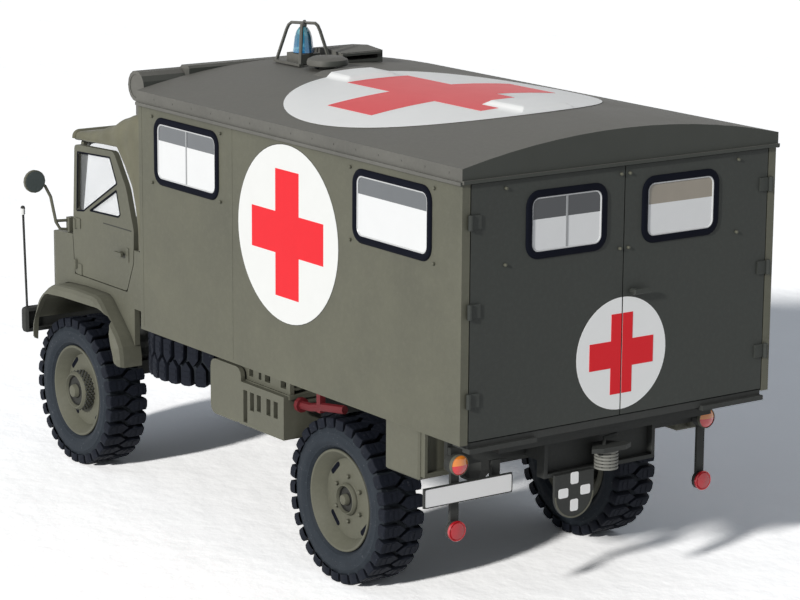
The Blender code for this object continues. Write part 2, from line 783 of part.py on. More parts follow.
def make_rear_doors():
    """The left door and its pane; the right ones are their mirror image."""
    outer = BODY_HALF - POST_WIDTH - RUN
    door = box(BODY_REAR, BODY_REAR + WALL, GAP, outer, REAR_DOOR_BOTTOM, BODY_EAVE - RUN)
    cut(door, window_hole(REAR_WINDOW_Y, REAR_WINDOW_Z, REAR_WINDOW_WIDTH,
                          REAR_WINDOW_HEIGHT, "YZ", BODY_REAR - 0.001, BODY_REAR + 0.003))
    hinge_y = outer + REAR_HINGE_OUT
    hinge_x = BODY_REAR - REAR_HINGE_RADIUS - GAP / 2
    pieces = [door]
    for z in HINGE_Z:
        pieces.append(cylinder(at(hinge_x, hinge_y, z), REAR_HINGE_RADIUS, HINGE_HEIGHT,
                               sides=10))
        low, high = z - HINGE_HEIGHT / 2 + 0.0001, z + HINGE_HEIGHT / 2 - 0.0001
        pieces.append(box(BODY_REAR - 0.0003, BODY_REAR + 0.0001, outer - 0.0016, outer,
                          low, high))
        pieces.append(box(BODY_REAR - 0.0003, BODY_REAR - GAP, outer - 0.0003, hinge_y,
                          low + 0.0001, high - 0.0001))
    left = union(pieces)
    right = mirrored(left)
    handle = union([
        cylinder(at(BODY_REAR - 0.0004, -0.0018, 0.0495), 0.0005, 0.0010, "X", 10),
        box(BODY_REAR - HANDLE_OUT, BODY_REAR - 0.0007, -0.0046, -0.0013, 0.0491, 0.0499,
            0.0002),
    ])
    finish(left, "rear_door_left", "olive_paint")
    finish(union([right, handle]), "rear_door_right", "olive_paint")
    middle = BODY_REAR + WALL / 2
    pane = window_pane(REAR_WINDOW_Y, REAR_WINDOW_Z, REAR_WINDOW_WIDTH, REAR_WINDOW_HEIGHT,
                       "YZ", middle - PANE / 2, middle + PANE / 2)
    finish(mirrored(pane), "rear_door_pane_right", "frosted_pane")
    finish(pane, "rear_door_pane_left", "frosted_pane")


# Things on the roof

BEACON_X = 0.0464
BEACON_Y = 0.0020
BEACON_BOX = 0.0020     # half the width of the box under the lamp
BEACON_BOX_TOP = 0.0759
BEACON_TOP = 0.0803
GUARD_X = 0.0036        # from the lamp's axis to the feet of the guard
GUARD_Y = 0.0030
GUARD_TOP = 0.0809
GUARD_ROD = 0.0003
VENT_X = 0.0385
VENT_Y = 0.0024
VENT_RADIUS = 0.0035
HATCH_REAR = 0.0432
HATCH_FRONT = 0.0522
HATCH_LEFT = -0.0035
HATCH_RIGHT = -0.0120
HATCH_TOP = 0.0757


def make_beacon():
    low = BEACON_BOX_TOP + GAP
    lamp = turned([(0.0, BEACON_TOP), (0.0007, BEACON_TOP - 0.0001),
                   (0.0012, BEACON_TOP - 0.0008), (0.0015, BEACON_TOP - 0.0018),
                   (0.0018, low), (0.0, low)], at(BEACON_X, BEACON_Y, 0), sides=14)
    finish(lamp, "beacon_lamp", "beacon_blue")
    foot = ROOF_CROWN + GAP
    pieces = [box(BEACON_X - BEACON_BOX, BEACON_X + BEACON_BOX, BEACON_Y - BEACON_BOX,
                  BEACON_Y + BEACON_BOX, foot, BEACON_BOX_TOP)]
    for side_x, side_y in ((1, 1), (-1, 1)):
        low_x, high_x = sorted((side_x * -GUARD_X, side_x * GUARD_X))
        points = []
        # share of the way to the foot, height below the top
        for share, drop in ((-1.0, GUARD_TOP - foot - GUARD_ROD), (-0.62, 0.0012), (-0.54, 0.0004),
                            (-0.44, 0.0), (0.44, 0.0), (0.54, 0.0004), (0.62, 0.0012),
                            (1.0, GUARD_TOP - foot - GUARD_ROD)):
            points.append(at(BEACON_X + side_x * GUARD_X * share,
                             BEACON_Y + side_y * GUARD_Y * share, GUARD_TOP - drop))
        pieces.append(rod(points, GUARD_ROD, 6))
    # Foot plates join the guard to the box
    for side_y in (1, -1):
        y = BEACON_Y + side_y * GUARD_Y
        pieces.append(box(BEACON_X - GUARD_X - GUARD_ROD, BEACON_X + GUARD_X + GUARD_ROD,
                          y - GUARD_ROD * 1.3, y + GUARD_ROD * 1.3, foot, foot + 0.0004))
    pieces.append(box(BEACON_X - 0.0006, BEACON_X + 0.0006, BEACON_Y - GUARD_Y,
                      BEACON_Y + GUARD_Y, foot + 0.0001, foot + 0.0003))
    finish(union(pieces), "beacon_guard", "olive_paint")


def make_roof_fittings():
    foot = ROOF_CROWN + GAP
    vent = turned([(0.0, 0.0762), (VENT_RADIUS * 0.62, 0.0761), (VENT_RADIUS * 0.94, 0.0756),
                   (VENT_RADIUS, 0.0751), (VENT_RADIUS * 0.94, 0.0748), (0.0014, 0.0747),
                   (0.0014, foot), (0.0, foot)], at(VENT_X, VENT_Y, 0), sides=18)
    finish(vent, "roof_vent", "olive_paint")
    low = roof_height(HATCH_RIGHT) - 0.0002
    middle = (HATCH_REAR + HATCH_FRONT) / 2
    hatch = prism([(HATCH_REAR, low), (HATCH_FRONT, low), (HATCH_FRONT, HATCH_TOP),
                   (middle, HATCH_TOP + 0.0004), (HATCH_REAR, HATCH_TOP)], "XZ",
                  HATCH_RIGHT, HATCH_LEFT)
    lid = box(HATCH_REAR - 0.0005, HATCH_REAR + 0.0010, HATCH_RIGHT + 0.0006,
              HATCH_LEFT, HATCH_TOP - 0.0005, HATCH_TOP - 0.0001)
    union([hatch, lid])
    wide = (HATCH_RIGHT - 0.001, HATCH_LEFT + 0.001)
    steps = 4
    under = [(wide[0] + (wide[1] - wide[0]) * step / steps) for step in range(steps + 1)]
    below = prism([(wide[0], low - 0.002)] + [(y, roof_height(y) + GAP) for y in under]
                  + [(wide[1], low - 0.002)], "YZ", HATCH_REAR - 0.001, HATCH_FRONT + 0.001)
    cut(hatch, below)
    cut(hatch, box(HATCH_REAR - 0.001, HATCH_FRONT - 0.0010, HATCH_RIGHT + 0.0010,
                   HATCH_LEFT - 0.0010, ROOF_CROWN + 0.0003, HATCH_TOP - 0.0005))
    finish(hatch, "roof_hatch", "olive_paint")


def roof_height(y):
    """Height of the roof's outer face at a distance from the centre line."""
    rise = ROOF_CROWN - FASCIA_TOP
    radius = (ROOF_OUT * ROOF_OUT + rise * rise) / (2 * rise)
    return ROOF_CROWN - radius + sqrt(radius * radius - y * y)


DUCT_TOP = 0.0740
DRUM_SIZE = 0.0026


def make_front_duct():
    """Air duct across the top of the front wall, with a round end at the left."""
    rear = BODY_FRONT + ROOF_END + GAP
    duct = box(rear, rear + 0.0028, -0.0040, 0.0200, 0.0660, DUCT_TOP, 0.0004)
    drum = cylinder(at(rear + 0.0027, 0.0234, DUCT_TOP - 0.0030), DRUM_SIZE, 0.0098, "Y", 16)
    neck = box(rear, rear + 0.0040, 0.0190, 0.0276, 0.0660, DUCT_TOP - 0.0028)
    hollow = cylinder(at(rear + 0.0027, 0.0283, DUCT_TOP - 0.0030), DRUM_SIZE - 0.0006, 0.0024,
                      "Y", 16)
    finish(cut(union([duct, drum, neck]), hollow), "front_duct", "olive_paint")


# Cab

def fender_outline():
    """Outer edge of a front fender, front foot first, over the wheel to the rear leg."""
    return [
        (0.0920, 0.0213, 0.0),
        (0.0918, 0.0245, 0.0030),
        (0.0893, 0.0297, 0.0040),
        (0.0850, 0.0326, 0.0050),
        (0.0770, 0.0331, 0.0100),
        (0.0690, 0.0331, 0.0035),
        (0.0611, 0.0258, 0.0050),
        (0.0611, 0.0221, 0.0),
    ]


def fender_arch():
    """Edge of the wheel opening, from the rear leg to the front foot."""
    return [
        (0.0621, 0.0200, 0.0),
        (0.0625, 0.0240, 0.0040),
        (0.0650, 0.0296, 0.0040),
        (0.0680, 0.0315, 0.0030),
        (0.0800, 0.0312, 0.0060),
        (0.0868, 0.0307, 0.0030),
        (0.0905, 0.0255, 0.0030),
        (0.0910, 0.0200, 0.0),
    ]


def round_side(item, y, width, segments):
    """Round off the edges that lie in the plane of the given y."""
    bm = bmesh.new()
    bm.from_mesh(item.data)
    layer = bm.edges.layers.float.new("bevel_weight_edge")
    for edge in bm.edges:
        edge[layer] = float(all(abs(vert.co.y - y) < 0.000001 for vert in edge.verts))
    bm.to_mesh(item.data)
    bm.free()
    modifier = item.modifiers.new("Round", "BEVEL")
    modifier.width = width
    modifier.segments = segments
    modifier.limit_method = "WEIGHT"
    settle(item)


def make_fenders():
    outer = fender_outline()
    body = prism(rounded(outer, 2), "XZ", FENDER_IN, FENDER_OUT)
    round_side(body, FENDER_OUT, FENDER_ROUND, 3)
    inner = inset(outer, FENDER_SKIN)
    inner[0] = (inner[0][0], 0.0190, 0.0)
    inner[-1] = (inner[-1][0], 0.0190, 0.0)
    cut(body, prism(rounded(inner, 2), "XZ", FENDER_IN - 0.001, FENDER_OUT - FENDER_LIP))
    cut(body, prism(rounded(fender_arch(), 2), "XZ", FENDER_OUT - 2 * FENDER_LIP,
                    FENDER_OUT + 0.001))
    # Room for the tyre in front and for the spare wheel behind
    cut(body, box(0.0850, 0.0930, FENDER_IN - 0.001, FENDER_OUT - FENDER_LIP, 0.0190, 0.0255))
    cut(body, box(0.0600, 0.0650, FENDER_IN - 0.001, SPARE_Y + 0.0105, 0.0190, 0.0310))
    finish(mirrored(body), "fender_right", "olive_paint")
    finish(body, "fender_left", "olive_paint")


def cab_plan(offset):
    """Plan of the cab and nose, seen from above, moved inwards by an offset."""
    corners = [
        (CAB_REAR, -CAB_HALF, 0.0012),
        (0.0908, -CAB_HALF, 0.0026),
        (NOSE_X, -0.0170, 0.0060),
        (NOSE_X, 0.0170, 0.0060),
        (0.0908, CAB_HALF, 0.0026),
        (CAB_REAR, CAB_HALF, 0.0012),
    ]
    return rounded(inset(corners, offset) if offset else corners, 3)


def door_outline():
    return [
        (DOOR_HINGE_X, DOOR_BOTTOM, 0.0005),
        (DOOR_HINGE_X + 0.0006, COWL_Z, 0.0),
        (DOOR_HINGE_X - 0.0004, DOOR_TOP - 0.0006, 0.0008),
        (0.0677, DOOR_TOP, 0.0015),
        (0.0636, 0.0526, 0.0060),
        (0.0612, 0.0456, 0.0030),
        (0.0615, 0.0400, 0.0020),
        (0.0638, DOOR_BOTTOM, 0.0008),
    ]


def door_window():
    """Upper pane, and the small lower one behind the slanting bar."""
    return ([
        (0.0808, 0.0461, 0.0006),
        (0.0802, 0.0565, 0.0008),
        (0.0690, 0.0571, 0.0008),
        (0.0667, 0.0529, 0.0008),
        (0.0784, 0.0464, 0.0004),
    ], [
        (0.0761, 0.0468, 0.0),
        (0.0669, 0.0517, 0.0),
        (0.0657, 0.0477, 0.0004),
        (0.0664, 0.0472, 0.0004),
    ])


BONNET = ((0.0839, 0.0416), (0.0893, 0.0412), (0.0916, 0.0403), (NOSE_X, 0.0385))


def make_cab_shell():
    shell = prism(cab_plan(0), "XY", NOSE_BOTTOM, CAB_WAIST)
    # The bonnet falls away to the nose
    slope = list(BONNET) + [(NOSE_X + 0.001, 0.0350), (NOSE_X + 0.001, 0.0600),
                            (0.0839, 0.0600)]
    cut(shell, prism(slope, "XZ", -0.040, 0.040))
    cut(shell, box(DOOR_HINGE_X, NOSE_X + 0.001, -0.04, 0.04, COWL_Z, 0.06))
    # Rear of the cab behind the fenders' legs hangs to its own lower edge
    cut(shell, box(CAB_REAR - 0.001, 0.0613, -0.04, 0.04, 0.02, 0.0321))
    # The fenders' outlines, with a gap, are taken out of both sides
    grown = inset(fender_outline(), -GAP)
    grown[0] = (grown[0][0], 0.0200, 0.0)
    grown[-1] = (grown[-1][0], 0.0200, 0.0)
    for side in (1, -1):
        low, high = sorted((side * (FENDER_IN - GAP), side * 0.040))
        cut(shell, prism(rounded(grown), "XZ", low, high))
    # Space under the floor and the engine bay
    inside = prism(cab_plan(CAB_SKIN), "XY", 0.0200, CAB_FLOOR)
    cut(shell, inside)
    firewall = 0.0829
    bay = prism(cab_plan(CAB_SKIN), "XY", CAB_FLOOR - 0.001, 0.0500)
    under = [(x, z - CAB_SKIN) for x, z in BONNET]
    under[0] = (firewall + CAB_SKIN, COWL_Z - CAB_SKIN)
    under[-1] = (NOSE_X, under[-1][1])
    keep = prism([(firewall + CAB_SKIN, 0.0300)] + under + [(NOSE_X, 0.0300)], "XZ",
                 -0.040, 0.040)
    boolean(bay, keep, "INTERSECT")
    cut(shell, bay)
    # The room for the crew
    room = box(CAB_REAR + CAB_SKIN, firewall, -CAB_HALF + CAB_SKIN, CAB_HALF - CAB_SKIN,
               CAB_FLOOR + CAB_SKIN, 0.0500)
    cut(shell, room)
    opening = inset(door_outline(), -RUN)
    opening = [(x, z, 0.0) if z < 0.0500 else (x, 0.0600, 0.0) for x, z, radius in opening]
    for side in (1, -1):
        low, high = sorted((side * (CAB_HALF - 2 * CAB_SKIN), side * 0.040))
        cut(shell, prism(rounded(opening), "XZ", low, high))
    # Grille opening with its bars, and the lamp pockets
    grille = prism(rounded(rounded_rectangle(0, 0.0310, 0.0230, 0.0070, 0.0015)), "YZ",
                   NOSE_X - 0.0030, NOSE_X + 0.001)
    cut(shell, grille)
    pieces = [shell]
    for bar in range(5):
        z = 0.0310 + (bar - 2) * 0.0012
        pieces.append(box(NOSE_X - 0.0007, NOSE_X - 0.0003, -0.0118, 0.0118, z - 0.00025,
                          z + 0.00025))
    for upright in (-0.0055, 0.0055):
        pieces.append(box(NOSE_X - 0.0010, NOSE_X - 0.0005, upright - 0.0003,
                          upright + 0.0003, 0.0272, 0.0348))
    union(pieces)
    for side in (1, -1):
        cut(shell, cylinder(at(NOSE_X - 0.0010, side * HEADLAMP_Y, HEADLAMP_Z),
                            HEADLAMP_RADIUS + GAP, 0.0060, "X", 14))
    finish(shell, "cab_shell", "olive_paint")


HEADLAMP_Y = 0.0143
HEADLAMP_Z = 0.0312
HEADLAMP_RADIUS = 0.0026


def make_headlamps():
    lamp = turned([(0.0, 0.0012), (HEADLAMP_RADIUS * 0.6, 0.0010),
                   (HEADLAMP_RADIUS * 0.9, 0.0005), (HEADLAMP_RADIUS, 0.0003),
                   (HEADLAMP_RADIUS, -0.0022), (HEADLAMP_RADIUS * 0.6, -0.0036),
                   (0.0, -0.0036)], at(NOSE_X, HEADLAMP_Y, HEADLAMP_Z), "X", 14)
    finish(mirrored(lamp), "headlamp_right", "clear_pane")
    finish(lamp, "headlamp_left", "clear_pane")


def lean(item):
    """Tilt an upright piece back by the windscreen's angle about its foot."""
    rise = WINDSCREEN_TOP_Z - COWL_Z
    angle = atan2(COWL_X - WINDSCREEN_TOP_X, rise)
    foot = at(COWL_X, 0, COWL_Z)
    turn = (Matrix.Translation(foot) @ Matrix.Rotation(-angle, 4, "Y")
            @ Matrix.Translation(-foot))
    item.matrix_world = turn
    return settle(item)


def make_windscreen():
    foot = 0.0003
    height = hypot(WINDSCREEN_TOP_Z - COWL_Z, COWL_X - WINDSCREEN_TOP_X) - foot
    middle = COWL_Z + foot + height / 2
    border = 0.0011
    frame = prism(rounded(rounded_rectangle(0, middle, 2 * WINDSCREEN_HALF, height, 0.0010)),
                  "YZ", COWL_X - 0.0009, COWL_X)
    width = WINDSCREEN_HALF - border - 0.0004
    for side in (1, -1):
        hole = rounded_rectangle(side * (0.0004 + width / 2), middle, width,
                                 height - 2 * border, 0.0009)
        cut(frame, prism(rounded(hole), "YZ", COWL_X - 0.003, COWL_X + 0.002))
    finish(lean(frame), "windscreen_frame", "olive_paint")
    sheet = prism(rounded(rounded_rectangle(0, middle, 2 * (WINDSCREEN_HALF - 0.0006),
                                            height - 0.0012, 0.0008)),
                  "YZ", COWL_X - 0.0009 - GAP - 0.0005, COWL_X - 0.0009 - GAP)
    finish(lean(sheet), "windscreen_glass", "clear_pane")


def make_cab_doors():
    outline = door_outline()
    door = prism(rounded(outline), "XZ", CAB_HALF - CAB_SKIN, CAB_HALF)
    upper, lower = door_window()
    cut(door, prism(rounded(upper), "XZ", CAB_HALF - 0.003, CAB_HALF + 0.002))
    cut(door, prism(rounded(lower), "XZ", CAB_HALF - 0.003, CAB_HALF + 0.002))
    # One sheet behind both openings, let into the door's inner face
    sheet = [(0.0812, 0.0458, 0.0006), (0.0806, 0.0569, 0.0008), (0.0687, 0.0575, 0.0008),
             (0.0651, 0.0477, 0.0006), (0.0662, 0.0468, 0.0006)]
    cut(door, prism(rounded(sheet, 1), "XZ", CAB_HALF - CAB_SKIN - 0.001,
                    CAB_HALF - CAB_SKIN + PANE_SEAT))
    glass = prism(rounded(inset(sheet, GAP), 1), "XZ", CAB_HALF - CAB_SKIN,
                  CAB_HALF - CAB_SKIN + PANE_SEAT - GAP)
    finish(mirrored(glass), "cab_door_glass_right", "clear_pane")
    finish(glass, "cab_door_glass_left", "clear_pane")
    handle = union([
        cylinder(at(0.0650, CAB_HALF + 0.0003, 0.0411), 0.0004, 0.0008, "Y", 8),
        box(0.0640, 0.0664, CAB_HALF + 0.0005, CAB_HALF + 0.0010, 0.0408, 0.0414),
    ])
    hinges = [cylinder(at(DOOR_HINGE_X - 0.0004, CAB_HALF + 0.0001, z), 0.0004, 0.0016,
                       sides=8) for z in (0.0437, 0.0365)]
    left = union([door, handle] + hinges)
    finish(mirrored(left), "cab_door_right", "olive_paint")
    finish(left, "cab_door_left", "olive_paint")


def canvas_outline():
    return [
        (0.0815, 0.0599, 0.0006),
        (0.0693, 0.0626, 0.0080),
        (0.0624, 0.0654, 0.0040),
        (CAB_REAR + 0.0001, 0.0659, 0.0008),
        (CAB_REAR + 0.0001, CAB_WAIST + GAP, 0.0),
        (0.0604, CAB_WAIST + GAP, 0.0),
        (0.0604, 0.0462, 0.0030),
        (0.0628, 0.0532, 0.0060),
        (0.0670, DOOR_TOP + DOOR_SLIT, 0.0010),
        (0.0811, DOOR_TOP + DOOR_SLIT - 0.0004, 0.0),
    ]


def make_canvas():
    corners = canvas_outline()
    cover = bevelled(prism(rounded(corners), "XZ", -CAB_HALF, CAB_HALF), 0.0008, 1, 50)
    top = [(0.0900, 0.0580, 0.0), (0.0815, 0.0592, 0.0), (0.0693, 0.0619, 0.0080),
           (0.0624, 0.0647, 0.0040), (CAB_REAR + CANVAS_SKIN, 0.0652, 0.0006),
           (CAB_REAR + CANVAS_SKIN, 0.0400, 0.0), (0.0900, 0.0400, 0.0)]
    cut(cover, prism(rounded(top), "XZ", -CAB_HALF + CANVAS_SKIN, CAB_HALF - CANVAS_SKIN))
    finish(cover, "canvas_roof", "canvas")


def make_cab_inside():
    floor = CAB_FLOOR + CAB_SKIN + GAP
    pieces = [box(0.0590, 0.0660, -0.0190, 0.0190, floor, floor + 0.0030)]
    for side in (1, -1):
        middle = side * 0.0115
        pieces.append(box(0.0582, 0.0668, middle - 0.0060, middle + 0.0060,
                          floor + 0.0028, floor + 0.0052, 0.0006))
        back = box(0.0575, 0.0592, middle - 0.0058, middle + 0.0058, floor + 0.0040,
                   floor + 0.0140, 0.0005)
        pieces.append(back)
    finish(union(pieces), "cab_seats", "seat_black")
    board = box(0.0798, 0.0828, -0.0250, 0.0250, 0.0378, 0.0414, 0.0003)
    column = rod([at(0.0815, 0.0115, 0.0390), at(0.0737, 0.0115, 0.04555)], 0.0004, 8)
    wheel = turned([(0.0038 + 0.0003 * cos(a * pi * 0.4), 0.0003 * sin(a * pi * 0.4))
                    for a in range(5)], Vector((0, 0, 0)), "Z", 14, closed=True)
    spokes = [rod([Vector((0.0038 * cos(a), 0.0038 * sin(a), 0)),
                   Vector((-0.0001 * cos(a), -0.0001 * sin(a), 0))], 0.0002, 6)
              for a in (pi / 2, pi * 7 / 6, pi * 11 / 6)]
    hub = cylinder(Vector((0, 0, 0)), 0.0007, 0.0007, sides=10)
    wheel = union([wheel, hub] + spokes)
    wheel.matrix_world = (Matrix.Translation(at(0.0736, 0.0115, 0.0457))
                          @ Matrix.Rotation(radians(-50), 4, "Y"))
    finish(union([board, column, settle(wheel)]), "dashboard", "olive_paint")


MIRROR_ROD = 0.00028


def make_mirrors():
    """Round mirror on a bent arm from the windscreen pillar."""
    head = cylinder(at(0.0844, 0.0329, 0.0513), 0.0020, 0.0006, "X", 16)
    arm = rod([at(0.0844, 0.0325, 0.0511), at(0.0845, 0.0308, 0.0503),
               at(0.0847, 0.0296, 0.0482), at(0.0848, 0.0286, 0.0436),
               at(0.0848, 0.0278, 0.0423), at(0.0846, CAB_HALF - 0.0003, 0.0421)],
              MIRROR_ROD, 6)
    stub = rod([at(0.0848, 0.0287, 0.0438), at(0.0846, CAB_HALF - 0.0003, 0.0437)],
               MIRROR_ROD, 6)
    foot = box(0.0838, 0.0849, WINDSCREEN_HALF + GAP, CAB_HALF - 0.0001, COWL_Z + GAP, 0.0443)
    left = union([head, arm, stub, foot])
    finish(mirrored(left), "mirror_right", "olive_paint")
    finish(left, "mirror_left", "olive_paint")


# Outside the frame

def make_bumper():
    bar = box(BUMPER_REAR, BUMPER_FRONT, -BUMPER_HALF, BUMPER_HALF, BUMPER_BOTTOM,
              BUMPER_TOP, 0.0008, 2)
    cut(bar, box(BUMPER_REAR - 0.001, BUMPER_FRONT - 0.0008, -BUMPER_HALF + 0.0008,
                 BUMPER_HALF - 0.0008, BUMPER_BOTTOM + 0.0008, BUMPER_TOP - 0.0008))
    pieces = [bar]
    for side in (1, -1):
        y = side * (BUMPER_HALF - 0.0008)
        pieces.append(rod([at(0.0956, y, BUMPER_TOP - 0.0004), at(0.0964, y, 0.0442)],
                          0.00024, 6))
        pieces.append(ball(at(0.0964, y, 0.0443), 0.00045, 8))
        low, high = sorted((side * (RAIL_Y - 0.0007), side * (RAIL_Y + 0.0007)))
        pieces.append(box(BUMPER_REAR, BUMPER_FRONT - 0.0006, low, high,
                          BUMPER_BOTTOM + 0.0004, BUMPER_TOP - 0.0004))
    finish(union(pieces), "front_bumper", "olive_paint")


RACK_REAR = 0.0119
RACK_FRONT = 0.0250
RACK_OUT = 0.0286
RACK_BOTTOM = 0.0204
RACK_TOP = 0.0274


def make_left_rack():
    """Rounded plate and slotted box under the left side of the body."""
    out = RACK_OUT
    plate = prism(rounded(rounded_rectangle(0.0290, 0.0250, 0.0092, 0.0092, 0.0014)), "XZ",
                  out - 0.0008, out)
    case = box(RACK_REAR, RACK_FRONT, 0.0215, out, RACK_BOTTOM, RACK_TOP)
    cut(case, box(RACK_REAR + 0.0008, RACK_FRONT - 0.0008, 0.0205, out - 0.0008,
                  RACK_BOTTOM + 0.0006, RACK_TOP - 0.0008))
    # middle and foot of each slot
    for x, low in ((0.0142, 0.0235), (0.0163, 0.0235), (0.0191, 0.0235), (0.0211, 0.0232),
                   (0.0231, 0.0209)):
        cut(case, box(x - 0.0006, x + 0.0006, out - 0.002, out + 0.001, low, RACK_TOP - 0.0012))
    shelf = box(RACK_REAR - 0.0003, RACK_FRONT + 0.0060, 0.0225, out - 0.0009,
                RACK_TOP - 0.0005, RACK_TOP + 0.0002)
    upper = box(RACK_REAR, RACK_FRONT + 0.0012, out - 0.0020, out - 0.0012, RACK_TOP,
                BODY_BOTTOM - GAP)
    # middle and half width of each opening over the shelf
    for x, half in ((0.0138, 0.0008), (0.0184, 0.0008), (0.0206, 0.0004), (0.0232, 0.0006)):
        cut(upper, box(x - half, x + half, out - 0.003, out, RACK_TOP + 0.0009,
                       BODY_BOTTOM - 0.0006))
    arms = [box(x, x + 0.0012, RAIL_Y + RAIL_WIDTH / 2 + GAP, 0.0228, 0.0266, 0.0275)
            for x in (0.0140, 0.0230)]
    finish(union([plate, case, shelf, upper] + arms), "slotted_rack", "olive_paint")
    pipe = rod([at(0.0106, 0.0262, 0.0262), at(0.0076, 0.0262, 0.0264),
                at(0.0040, 0.0262, 0.0272), at(-0.0004, 0.0254, 0.0276)], 0.0007, 8)
    flange = cylinder(at(0.0105, 0.0262, 0.0262), 0.0012, 0.0008, "X", 10)
    strap = box(0.0045, 0.0055, 0.0257, 0.0267, 0.0262, BODY_BOTTOM - GAP)
    finish(union([pipe, flange, strap]), "red_pipe", "red_paint")


def make_lockers():
    """Lockers behind the rear wheels, and the fuel tank on the right."""
    locker = box(-0.0240, -0.0154, 0.0215, 0.0284, 0.0224, BODY_BOTTOM - GAP, 0.0003)
    lip = box(-0.0250, -0.0238, 0.0235, 0.0280, 0.0230, BODY_BOTTOM - GAP)
    cut(lip, box(-0.0252, -0.0243, 0.0240, 0.0275, 0.0236, 0.0298))
    locker = union([locker, lip])
    finish(mirrored(locker), "rear_locker_right", "olive_paint")
    finish(locker, "rear_locker_left", "olive_paint")
    outline = rounded(rounded_rectangle(-0.0205, 0.0231, 0.0150, 0.0080, 0.0020), 2)
    tank = prism(outline, "YZ", 0.0140, 0.0360)
    pieces = [tank]
    for x in (0.0180, 0.0315):
        band = rounded(rounded_rectangle(-0.0205, 0.0231, 0.0154, 0.0083, 0.0022), 2)
        pieces.append(prism(band, "YZ", x, x + 0.0010))
    pieces.append(cylinder(at(0.0330, -0.0278, 0.0245), 0.0011, 0.0020, "Y", 12))
    pieces.append(box(0.0180, 0.0190, -0.0150, -0.0103, 0.0255, 0.0268))
    finish(union(pieces), "fuel_tank", "olive_paint")


def make_rear_lamps():
    """Lamp and hanging reflector on each side, and the bare number plate."""
    lamp = cylinder(at(LAMP_X, LAMP_Y, LAMP_Z), LAMP_RADIUS, 0.0018, "X", 14)
    bracket = box(LAMP_X + 0.0002, LAMP_BAR_X - GAP, LAMP_Y - 0.0012, LAMP_Y + 0.0008,
                  0.0245, 0.0275)
    strap = box(LAMP_X + 0.0002, LAMP_X + 0.0007, LAMP_Y - 0.0008, LAMP_Y + 0.0007,
                REFLECTOR_Z, 0.0255)
    reflector = cylinder(at(LAMP_X, LAMP_Y, REFLECTOR_Z), 0.0015, 0.0010, "X", 14)
    left = union([lamp, bracket, strap, reflector])
    finish(mirrored(left), "tail_lamp_right", "lamp_red")
    finish(left, "tail_lamp_left", "lamp_red")
    plate = box(LAMP_X - 0.0006, LAMP_X - 0.0002, 0.0139, 0.0301, 0.0193, 0.0223)
    stay = box(LAMP_X - 0.0004, LAMP_BAR_X + 0.0006, 0.0150, 0.0165, 0.0205, 0.0212)
    hanger = box(LAMP_BAR_X, LAMP_BAR_X + 0.0008, 0.0150, 0.0165, 0.0205, 0.0243 - GAP)
    finish(union([plate, stay, hanger]), "licence_plate", "plate_white")


def make_convoy_plate():
    """Plate with a straight top and a round foot, hung under the rear crossmember."""
    middle, half, foot, head = 0.0054, 0.0037, 0.0149, REAR_BEAM_BOTTOM + 0.0003
    arc = [(middle + half * cos(angle), foot + half + half * sin(angle))
           for angle in [radians(180 + 15 * step) for step in range(13)]]
    plate = prism(arc + [(middle + half, head), (middle - half, head)], "YZ",
                  FRAME_REAR - 0.0018 - GAP - 0.0005, FRAME_REAR - 0.0018 - GAP)
    finish(plate, "convoy_plate", "olive_paint")


def build():
    global PARTS
    clear_scene()
    PARTS = bpy.data.collections.new("ambulance_truck_model")
    bpy.context.scene.collection.children.link(PARTS)
    make_materials()
    make_wheels()
    make_axles()
    make_knuckles()
    make_frame()
    make_engine()
    make_side_walls()
    make_floor()
    make_front_wall()
    make_roof()
    make_rear_doors()
    make_beacon()
    make_roof_fittings()
    make_front_duct()
    make_fenders()
    make_cab_shell()
    make_headlamps()
    make_windscreen()
    make_cab_doors()
    make_canvas()
    make_cab_inside()
    make_mirrors()
    make_bumper()
    make_left_rack()
    make_lockers()
    make_rear_lamps()
    make_convoy_plate()


build()
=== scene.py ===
"""Looks of the ambulance truck model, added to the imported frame."""
import bmesh
import bpy
from math import cos, pi, radians, sin, sqrt
from mathutils import Matrix, Vector, noise


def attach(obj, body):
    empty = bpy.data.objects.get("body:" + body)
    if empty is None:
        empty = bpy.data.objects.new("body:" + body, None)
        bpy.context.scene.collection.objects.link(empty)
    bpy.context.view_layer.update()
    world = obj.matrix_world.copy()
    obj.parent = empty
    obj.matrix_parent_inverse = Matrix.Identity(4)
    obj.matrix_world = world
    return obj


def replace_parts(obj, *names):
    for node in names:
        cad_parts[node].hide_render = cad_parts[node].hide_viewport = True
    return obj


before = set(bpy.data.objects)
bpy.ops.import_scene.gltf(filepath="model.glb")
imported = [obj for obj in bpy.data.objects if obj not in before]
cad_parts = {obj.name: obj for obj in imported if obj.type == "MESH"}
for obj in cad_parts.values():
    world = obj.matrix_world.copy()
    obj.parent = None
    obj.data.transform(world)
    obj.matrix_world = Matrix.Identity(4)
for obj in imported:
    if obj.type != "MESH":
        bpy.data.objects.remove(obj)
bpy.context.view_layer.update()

# Sizes repeated from the part, in metres; lengths along X count from the rear axle
REAR_AXLE_X = -(0.0969 - 0.0357 - 0.0013) / 2
WHEELBASE = 0.0829
WHEEL_Y = 0.0230
TYRE_RADIUS = 0.01314
TYRE_WIDTH = 0.0077
RIM_RADIUS = 0.0081
RIM_WIDTH = 0.0064
BODY_REAR = -0.0357
BODY_HALF = 0.02966
BODY_EAVE = 0.0686
FASCIA_TOP = 0.0708
ROOF_CROWN = 0.0741
ROOF_OUT = BODY_HALF + 0.0002
SPARE_X = 0.0508
SPARE_Y = 0.0149
SPARE_Z = 0.0219 + TYRE_WIDTH / 2
WINDOW_Z = 0.0616
WINDOW_SIZE = (0.0197, 0.0110)
WINDOW_FRONT_X = 0.0388
WINDOW_REAR_X = -0.0186
REAR_WINDOW_Y = 0.0108
